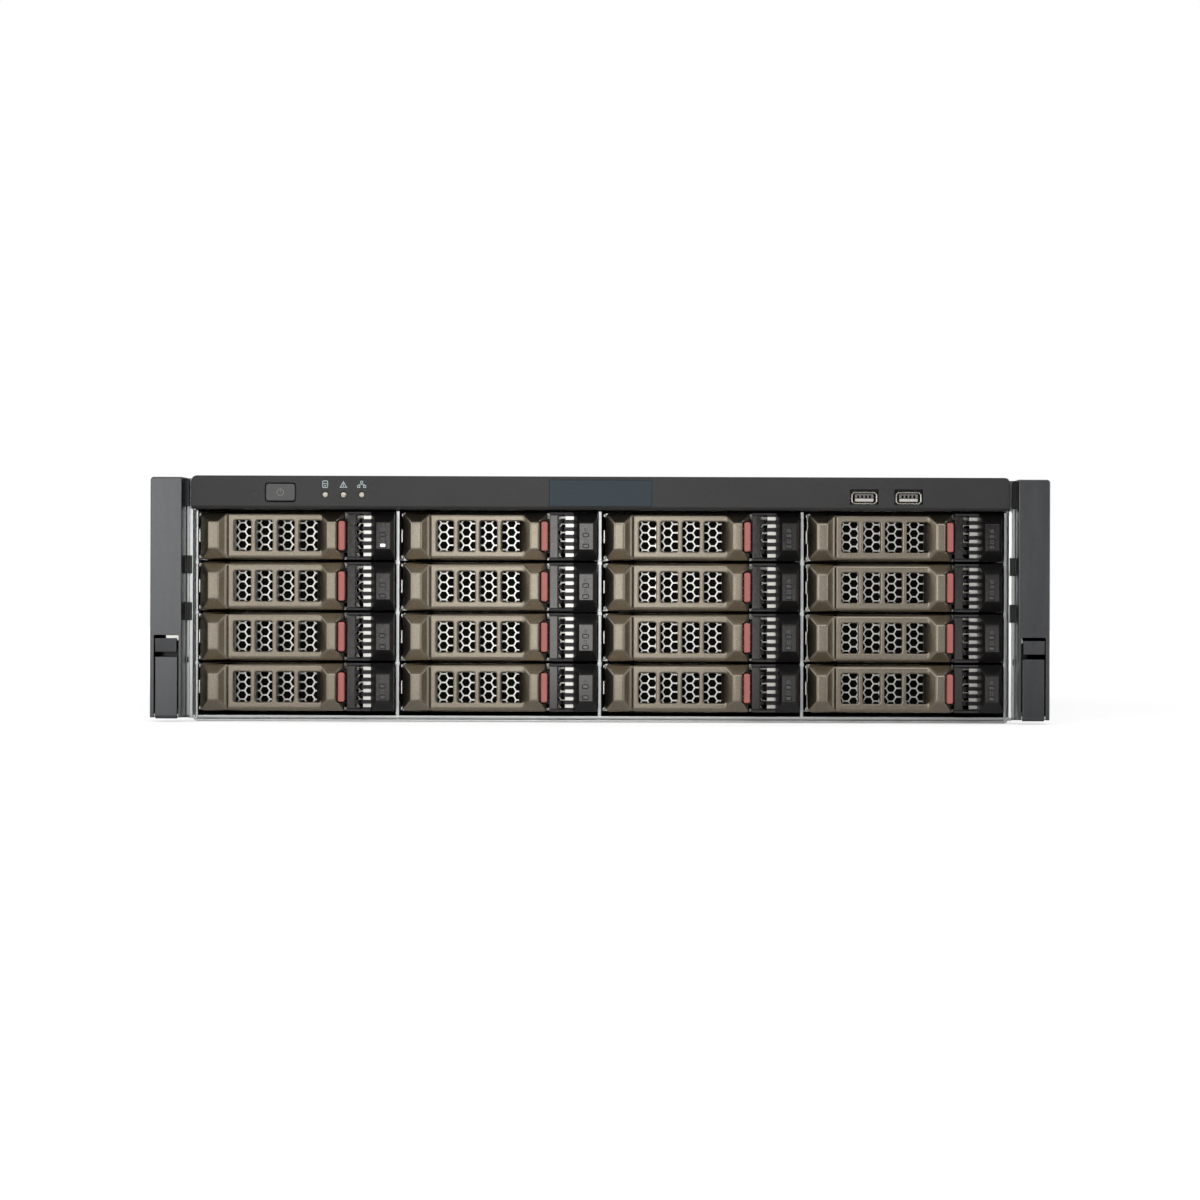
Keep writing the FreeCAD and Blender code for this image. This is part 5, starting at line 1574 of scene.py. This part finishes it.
def socket_body(left, kind, mouth, case, chamfer=0.0):
    """A block on the board's edge, its mouth carved from the face; the mouth's lower corners may be cut."""
    width, height = kind
    x = left + width / 2
    z = BOARD_TOP + height / 2
    body = block("socket", (left, SOCKET_BACK, BOARD_TOP), (left + width, SOCKET_FACE, BOARD_TOP + height))
    tool = block("mouth", (x - mouth[0] / 2, SOCKET_FACE - mouth[2], z - mouth[1] / 2),
                 (x + mouth[0] / 2, SOCKET_FACE + 1, z + mouth[1] / 2))
    if chamfer:
        round_edges(tool, chamfer, 1, lambda edge: front_to_back(edge) and middle(edge).z < z)
    carve(body, tool)
    return coat(soften(body, 0.2), case), x, z


def inlay(low, high, material, width=0.12):
    """A small softened block inside a socket."""
    return coat(soften(block("inlay", low, high), width), material)


print("sockets stand on the board at a height of", BOARD_TOP, "mm")

# %% [markdown]
# ### Network sockets
# Eight gold wires lean back into the mouth, two black guides stand in its lower corners,
# and a green and an amber window lie over it. All are small blocks that are set into the carved mouth.

# %% Network sockets
CONTACT_COUNT = 8
WIRE_PITCH = 1.02


def network_socket(left):
    body, x, z = socket_body(left, NETWORK, (11.8, 8.6, 12.0), nickel)
    face = SOCKET_FACE
    parts = [body]
    for step in range(CONTACT_COUNT):
        spot = x + (step - (CONTACT_COUNT - 1) / 2) * WIRE_PITCH
        pin = block("contact", (spot - 0.2, face - 9.5, z + 2.4), (spot + 0.2, face - 2.0, z + 2.8))
        shift(pin, lambda corner: middle(corner).y < face - 9, 0, 0, -2.6)
        parts.append(coat(pin, gold))
    parts.append(inlay((x - 5.8, face - 11.9, z - 4.2), (x + 5.8, face - 10.0, z + 4.2), black_abs))
    for side, window in ((-1, green_lens), (1, amber_lens)):
        guide = (x + side * 5.8, face - 10.0, z - 4.25)
        parts.append(inlay(guide, (x + side * 3.2, face - 0.4, z - 2.2), black_abs))
        corner = (x + side * 6.6, face - 2.0, z + 4.75)
        parts.append(inlay(corner, (x + side * 3.4, face + 0.08, z + 6.25), window))
    return parts


NETWORK_LEFTS = (-47.97, -26.74, -5.51, 15.72)
rear_sockets = []
for left in NETWORK_LEFTS:
    rear_sockets += network_socket(left)
print("four network sockets of", len(rear_sockets) // len(NETWORK_LEFTS), "parts")

# %% [markdown]
# ### Video, screen and data sockets
# The video and data sockets are metal shells with a flat tongue. The screen socket has a blue insert
# with three rows of pin holes, which are drilled at once, and a threaded nut at each end.

# %% Video, screen and data sockets
VIDEO_LEFTS = (36.95, 57.38)
SCREEN_LEFT = 77.81
DATA_LEFT = 113.84
NUT_REACH = 12.3


def tongue_socket(left, kind, mouth, chamfer, blade, material):
    """A metal shell with a flat tongue in its mouth."""
    body, x, z = socket_body(left, kind, mouth, nickel, chamfer)
    reach, thick = blade
    back = SOCKET_FACE - mouth[2]
    return [body, inlay((x - reach, back, z - thick), (x + reach, SOCKET_FACE - 1.4, z + thick), material)]


def screen_socket(left):
    body, x, z = socket_body(left, SCREEN, (16.4, 7.8, 1.5), nickel, 1.8)
    insert = block("insert", (x - 8.0, SOCKET_FACE - 1.5, z - 3.7), (x + 8.0, SOCKET_FACE - 0.3, z + 3.7))
    round_edges(insert, 1.7, 1, lambda edge: front_to_back(edge) and middle(edge).z < z)
    holes = []
    for row in (-1, 0, 1):
        for step in range(5):
            spot = (x + (step - 2) * 2.3 + row * 0.6, SOCKET_FACE - 1.2, z + row * 2.0)
            holes.append(rod("pin_hole", spot, (spot[0], SOCKET_FACE + 1, spot[2]), 0.5, 10))
    carve(insert, joined("pin_holes", *holes))
    parts = [body, coat(soften(insert, 0.12), blue_nylon)]
    for way in (-NUT_REACH, NUT_REACH):
        nut = rod("nut", (x + way, SOCKET_FACE - 2.0, z), (x + way, SOCKET_FACE + 0.1, z), 2.5, 6)
        carve(nut, rod("thread", (x + way, SOCKET_FACE - 1.5, z), (x + way, SOCKET_FACE + 1, z), 1.3, 20))
        parts.append(coat(soften(nut, 0.15), gold))
    return parts


for left in VIDEO_LEFTS:
    rear_sockets += tongue_socket(left, VIDEO, (13.6, 4.2, 8.0), 1.4, (5.6, 0.6), black_abs)
rear_sockets += screen_socket(SCREEN_LEFT)
rear_sockets += tongue_socket(DATA_LEFT, DATA, (12.4, 5.0, 9.0), 0.0, (4.3, 0.9), blue_nylon)
print(len(rear_sockets), "parts of sockets so far")

# %% [markdown]
# ### Alarm header and shield
# The header is one long green socket with a row of square pins and a rib between each two of them.
# The shield is a thin plate with a cut round every socket, a little larger than its body.

# %% Alarm header and shield
ALARM_LEFT = 133.57
PIN_COUNT = 14
PIN_PITCH = 5.08
CUT_GAP = 0.4


def alarm_header(left):
    body, x, z = socket_body(left, ALARM, (72.0, 7.0, 8.0), green_nylon)
    back = SOCKET_FACE - 8.0
    parts = [body]
    for step in range(PIN_COUNT):
        spot = x + (step - (PIN_COUNT - 1) / 2) * PIN_PITCH
        tip = (spot + 0.5, SOCKET_FACE - 1.5, z + 0.5)
        parts.append(inlay((spot - 0.5, back, z - 0.5), tip, nickel, 0.1))
        if step < PIN_COUNT - 1:
            crest = (spot + 2.84, SOCKET_FACE - 3.0, z - 1.6)
            parts.append(inlay((spot + 2.24, back, z - 3.5), crest, green_nylon, 0.1))
    return parts


rear_sockets += alarm_header(ALARM_LEFT)
rear_sockets = joined("rear_sockets_piece", *rear_sockets)
shield = upright("shield", SHIELD_SPAN, SEAM)
cuts = [(left, NETWORK) for left in NETWORK_LEFTS] + [(left, VIDEO) for left in VIDEO_LEFTS]
cuts += [(SCREEN_LEFT, SCREEN), (DATA_LEFT, DATA), (ALARM_LEFT, ALARM)]
for left, (width, height) in cuts:
    span = (left - CUT_GAP, left + width + CUT_GAP, BOARD_TOP - CUT_GAP, BOARD_TOP + height + CUT_GAP)
    carve(shield, upright("cut", span, 0, 2))
shield = coat(soften(shield, 0.2), plated)
shield.name = "connector_shield_piece"
rides(rear_sockets, "chassis", "system_board")
rides(shield, "chassis", "connector_shield")
print("rear sockets", len(rear_sockets.data.polygons), "faces")

# %% [markdown]
# ## System board
# Under the cover lies the main board with its cooler and two memory cards, seen only through the slots.
# The cooler is a block with the channels between its nine fins cut out; a card is a thin board with chips.

# %% System board
anodised, shader, where = finish("anodised_aluminium", "#9b9ea1", 1.0, 0.4)
strokes = node(anodised, "ShaderNodeMapping", {"Vector": where, "Scale": (1.0, 0.05, 1.0)})
lines = node(anodised, "ShaderNodeTexNoise", inputs={
    "Vector": strokes.outputs["Vector"], "Scale": per_mm(0.5), "Detail": 3.0})
shade = node(anodised, "ShaderNodeMix", data_type="RGBA", inputs={
    "Factor": lines.outputs["Fac"], COLOUR_A: linear("#8b8e91"), COLOUR_B: linear("#aeb1b3")})
link(anodised, shade.outputs[COLOUR_OUT], shader, "Base Color")

BOARD_LOW = 7.7
CARD_FRONT = 22.2
CARD_REAR = 155.2
CHIP_PITCH = 15.6
board_parts = [coat(soften(block("board", (-53.2, 12.2, BOARD_LOW), (214.8, 256.1, BOARD_TOP)), 0.2), mask)]
for x in (-46.7, 208.3):
    for y in (18.7, 235.2):
        standoff = rod("standoff", (x, y, SHEET), (x, y, BOARD_LOW), 3.0, 6)
        board_parts.append(coat(soften(standoff, 0.2), nickel))
cooler = block("cooler", (16.8, 47.2, BOARD_TOP), (86.8, 117.2, BOARD_TOP + 38.0))
channel = block("channel", (20.1, 46.0, BOARD_TOP + 6.0), (25.1, 118.4, BOARD_TOP + 40.0))
repeated(channel, 8, 8.33, 0)
carve(cooler, channel)
board_parts.append(coat(soften(cooler, 0.3), anodised))
for left in (96.8, 106.8):
    card = (left + 1.8, CARD_FRONT, BOARD_TOP + 3)
    board_parts.append(inlay(card, (left + 3.2, CARD_REAR, BOARD_TOP + 31), mask, 0.1))
    holder = (left, CARD_FRONT, BOARD_TOP)
    board_parts.append(inlay(holder, (left + 5.0, CARD_REAR, BOARD_TOP + 5.5), black_abs, 0.3))
    for index in range(8):
        low = 28.0 + index * CHIP_PITCH
        chip = (left + 0.6, low, BOARD_TOP + 10)
        board_parts.append(inlay(chip, (left + 4.4, low + 11.0, BOARD_TOP + 22), black_abs, 0.2))
board = joined("system_board_piece", *board_parts)
rides(board, "chassis", "system_board")
print("system board", len(board.data.polygons), "faces")

# %% [markdown]
# ## Power supply
# The supply is a steel box behind its opening, with vent slots and a mains inlet with three flat pins.
# The box is hollowed and slotted from the rear. The inlet's mouth has two cut corners, as such inlets have,
# so that a plug fits one way round only.

# %% Power supply
case = block("case", (-213.8, 96.2, SHEET), (-63.8, PANEL_INNER, 87.2))
carve(case, block("room", (-212.6, 97.4, SHEET * 2), (-65.0, 255.0, 86.0)))
slot = block("slot", (-189.8, 250.0, 48.0), (-129.8, 260.0, 52.0))
round_edges(slot, 1.9, 6, front_to_back)
repeated(slot, 5, 0, 8)
carve(case, slot)
carve(case, block("inlet_hole", (-112.8, 250, 46), (-87.8, 260, 64)))
coat(soften(case, 0.4), zinc)
inlet = block("inlet", (-112.7, 240.7, 46.1), (-87.9, CHASSIS_REAR, 63.9))
round_edges(inlet, 1.2, 4, front_to_back)
mouth = block("mouth", (-111.0, 242.4, 47.8), (-89.6, 259.0, 62.2))
round_edges(mouth, 4.2, 1, lambda edge: front_to_back(edge) and middle(edge).z > 60)
carve(inlet, mouth)
INLET_X = -100.3
PRONG_PITCH = 7.0
supply_parts = [case, coat(soften(inlet, 0.3), black_abs)]
for step in (-1, 0, 1):
    x = INLET_X + step * PRONG_PITCH
    low = 52.0 - (2.0 if step == 0 else 0.0)
    supply_parts.append(inlay((x - 1.0, 242.4, low), (x + 1.0, 254.4, low + 4.0), nickel, 0.3))
supply_parts.append(inlay((-164.8, 150.2, SHEET), (-112.8, 202.2, 45.2), mask, 1.0))
supply = joined("power_supply_piece", *supply_parts)
supply_screws = cross_screws("supply_screws_piece", 2.6, (-196.2, 94.0), (-80.0, 94.0))
rides(supply, "chassis", "power_supply")
rides(supply_screws, "chassis", "rear_panel")
print("power supply", len(supply.data.polygons), "faces")

# %% [markdown]
# ## Backplane and fans
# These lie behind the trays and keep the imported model's own shapes; they only take finishes.
# Each face gets its finish by its place: black sockets on the green board, black fans in the steel wall.

# %% Backplane and fans


def paint_faces(name, first, second, is_second):
    """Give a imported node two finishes, told apart by a face's place in millimetres."""
    piece = frame["nodes"][name]
    coat(piece, first, second)
    for face in piece.data.polygons:
        face.material_index = int(is_second(face.center / MM))


BOARD_FACE = -79.1
FAN_FACE = -41.7
paint_faces("backplane", mask, black_abs, lambda spot: spot.y < BOARD_FACE)
paint_faces("fan_wall", zinc, black_abs, lambda spot: spot.y > FAN_FACE)
print("backplane and fan wall painted")

# %% [markdown]
# ## Sixteen trays
# The pieces above were drawn for a bay whose middle is X 0 and whose floor is Z 0.
# Each bay gets its own copies, which ride on that bay's tray, lever and button. The first ones are removed.

# %% Sixteen trays
LIT_TRAY = "r1c1"
tray_pieces = {
    "sled": (sled, "tray_metal"),
    "hinge": (hinge, "tray_metal"),
    "moulding": (moulding, "bezel_plastic"),
    "upper_lamp": (lamps[0], "bezel_plastic"),
    "lower_lamp": (lamps[1], "bezel_plastic"),
    "signs": (signs, "bezel_plastic"),
    "drive": (drive, "tray_metal"),
}
for row in range(4):
    for column in range(4):
        tag = f"r{row + 1}c{column + 1}"
        x = (column - 1.5) * BAY_PITCH_X
        z = FIRST_FLOOR + (3 - row) * BAY_PITCH_Z
        for name, (piece, slot_name) in tray_pieces.items():
            twin = copied(piece, f"{name}_{tag}_piece", x, 0, z)
            rides(twin, f"tray_{tag}", f"tray_{tag}")
            if name == "lower_lamp" and tag == LIT_TRAY:
                coat(twin, lit)
        rides(copied(lever, f"lever_{tag}_piece", x, 0, z), f"lever_{tag}", f"lever_{tag}")
        rides(copied(key, f"button_{tag}_piece", x, 0, z), f"button_{tag}", f"button_{tag}")
for piece in (lever, key, *(first for first, _ in tray_pieces.values())):
    bpy.data.objects.remove(piece)
print("16 trays of", len(tray_pieces) + 2, "pieces")

# %% [markdown]
# ## Floor
# The photograph was taken against white. To the camera the floor is white paper, which is dimmer near
# the object and keeps its shadow. In mirrors it is dark near the object and white far away.
# A wide plane could be lit until it is white, but then the object would be too; so it glows by itself.

# %% Floor
NEAR_FLOOR = 0.3
FAR_FLOOR = 1.2
NEAR_GLOW = 0.6
DARK_FLOOR = 0.5
BRIGHT_FLOOR = 1.8
WHITE = (1, 1, 1, 1)


def background_rays(tree):
    """Two switches for rays that see the background: the camera's, and those of mirrors and glass."""
    rays = node(tree, "ShaderNodeLightPath", {})
    mirrors = node(tree, "ShaderNodeMath", operation="MAXIMUM", inputs={
        0: rays.outputs["Is Glossy Ray"], 1: rays.outputs["Is Transmission Ray"]})
    return rays.outputs["Is Camera Ray"], mirrors.outputs[0]


clear_selection()
bpy.ops.mesh.primitive_plane_add(size=12, location=(0, 0, -0.0002))
floor = bpy.context.object
floor.name = "studio_floor"
paper, shader, where = finish("white_studio_paper", "#e6e6e6", 0.0, 0.8)
camera_ray, mirror_ray = background_rays(paper)
reach = node(paper, "ShaderNodeVectorMath", {0: where}, operation="LENGTH")
glow = node(paper, "ShaderNodeMapRange", {
    "Value": reach.outputs["Value"], "From Min": NEAR_FLOOR, "From Max": FAR_FLOOR, "To Min": NEAR_GLOW})
shine = node(paper, "ShaderNodeMapRange", {
    "Value": reach.outputs["Value"], "From Min": DARK_FLOOR, "From Max": BRIGHT_FLOOR})
mirrored = node(paper, "ShaderNodeMath", {0: mirror_ray, 1: shine.outputs["Result"]}, operation="MULTIPLY")
lift = node(paper, "ShaderNodeMath", operation="MULTIPLY_ADD", inputs={
    0: camera_ray, 1: glow.outputs["Result"], 2: mirrored.outputs[0]})
link(paper, lift.outputs[0], shader, "Emission Strength")
tune(paper, "Emission Color", WHITE)
coat(floor, paper)
print("floor with", len(paper.node_tree.nodes), "nodes")

# %% [markdown]
# ## World
# The world is white to the camera too. Mirrors see white behind the object and a dim studio in front,
# so flat faces shine where they mirror a softbox, and slopes stay dark. All else gets a low, even light.

# %% World
AMBIENT = 0.18
DIM_LEVEL = 0.06
DIM_WAY = 0.15
WHITE_WAY = 0.6
world = bpy.data.worlds.new("white_studio")
bpy.context.scene.world = world
world.use_nodes = True
backdrop = world.node_tree.nodes["Background"]
camera_ray, mirror_ray = background_rays(world)
way = node(world, "ShaderNodeTexCoord", {}).outputs["Generated"]
sides = node(world, "ShaderNodeSeparateXYZ", {"Vector": way})
studio = node(world, "ShaderNodeMapRange", {
    "Value": sides.outputs["Y"], "From Min": DIM_WAY, "From Max": WHITE_WAY, "To Min": DIM_LEVEL})
level = node(world, "ShaderNodeMix", inputs={
    "Factor": mirror_ray, VALUE_A: AMBIENT, VALUE_B: studio.outputs["Result"]})
level = node(world, "ShaderNodeMix", {"Factor": camera_ray, VALUE_A: level.outputs[0], VALUE_B: 1.0})
world.node_tree.links.new(level.outputs[0], backdrop.inputs["Strength"])
backdrop.inputs["Color"].default_value = WHITE
print("world with", len(world.node_tree.nodes), "nodes")

# %% [markdown]
# ## Softboxes
# A small softbox stands close to the middle of the front, so its mirror image fades to both sides.
# The others are farther away and large for their power,
# so that bright metal mirrors them without burning out.

# %% Softboxes


def softbox(name, spot, aim, size, watts):
    """An area lamp in metres that faces a point and is hidden from the camera."""
    lamp = bpy.data.lights.new(name, "AREA")
    lamp.shape = "RECTANGLE"
    lamp.size = size[0]
    lamp.size_y = size[1]
    lamp.energy = watts
    holder = bpy.data.objects.new(name, lamp)
    bpy.context.scene.collection.objects.link(holder)
    holder.location = spot
    holder.rotation_euler = (Vector(aim) - Vector(spot)).to_track_quat("-Z", "Y").to_euler()
    holder.visible_camera = False


FRONT_MIDDLE = (0, -0.2, 0.06)
softbox("near_softbox", (-0.055, -0.95, 0.10), (-0.045, -0.25, 0.06), (0.19, 0.3), 0.36)
softbox("ear_softbox", (-0.66, -2.2, 0.3), (-0.23, -0.25, 0.07), (0.2, 0.6), 1.6)
softbox("left_softbox", (-1.7, -1.15, 0.8), FRONT_MIDDLE, (2.1, 1.5), 13)
softbox("right_softbox", (1.6, -1.05, 0.75), FRONT_MIDDLE, (1.7, 1.4), 7.5)
softbox("upper_softbox", (0.05, -1.6, 1.2), FRONT_MIDDLE, (1.3, 0.7), 5.5)
softbox("overhead_softbox", (0, -0.35, 1.6), (0, -0.25, 0.06), (1.2, 0.7), 2.2)
softbox("rear_softbox", (0.5, 2.4, 1.6), (0, 0.2, 0.08), (2.4, 1.6), 2.5)
bpy.context.scene.view_settings.view_transform = "Standard"
print("seven softboxes")
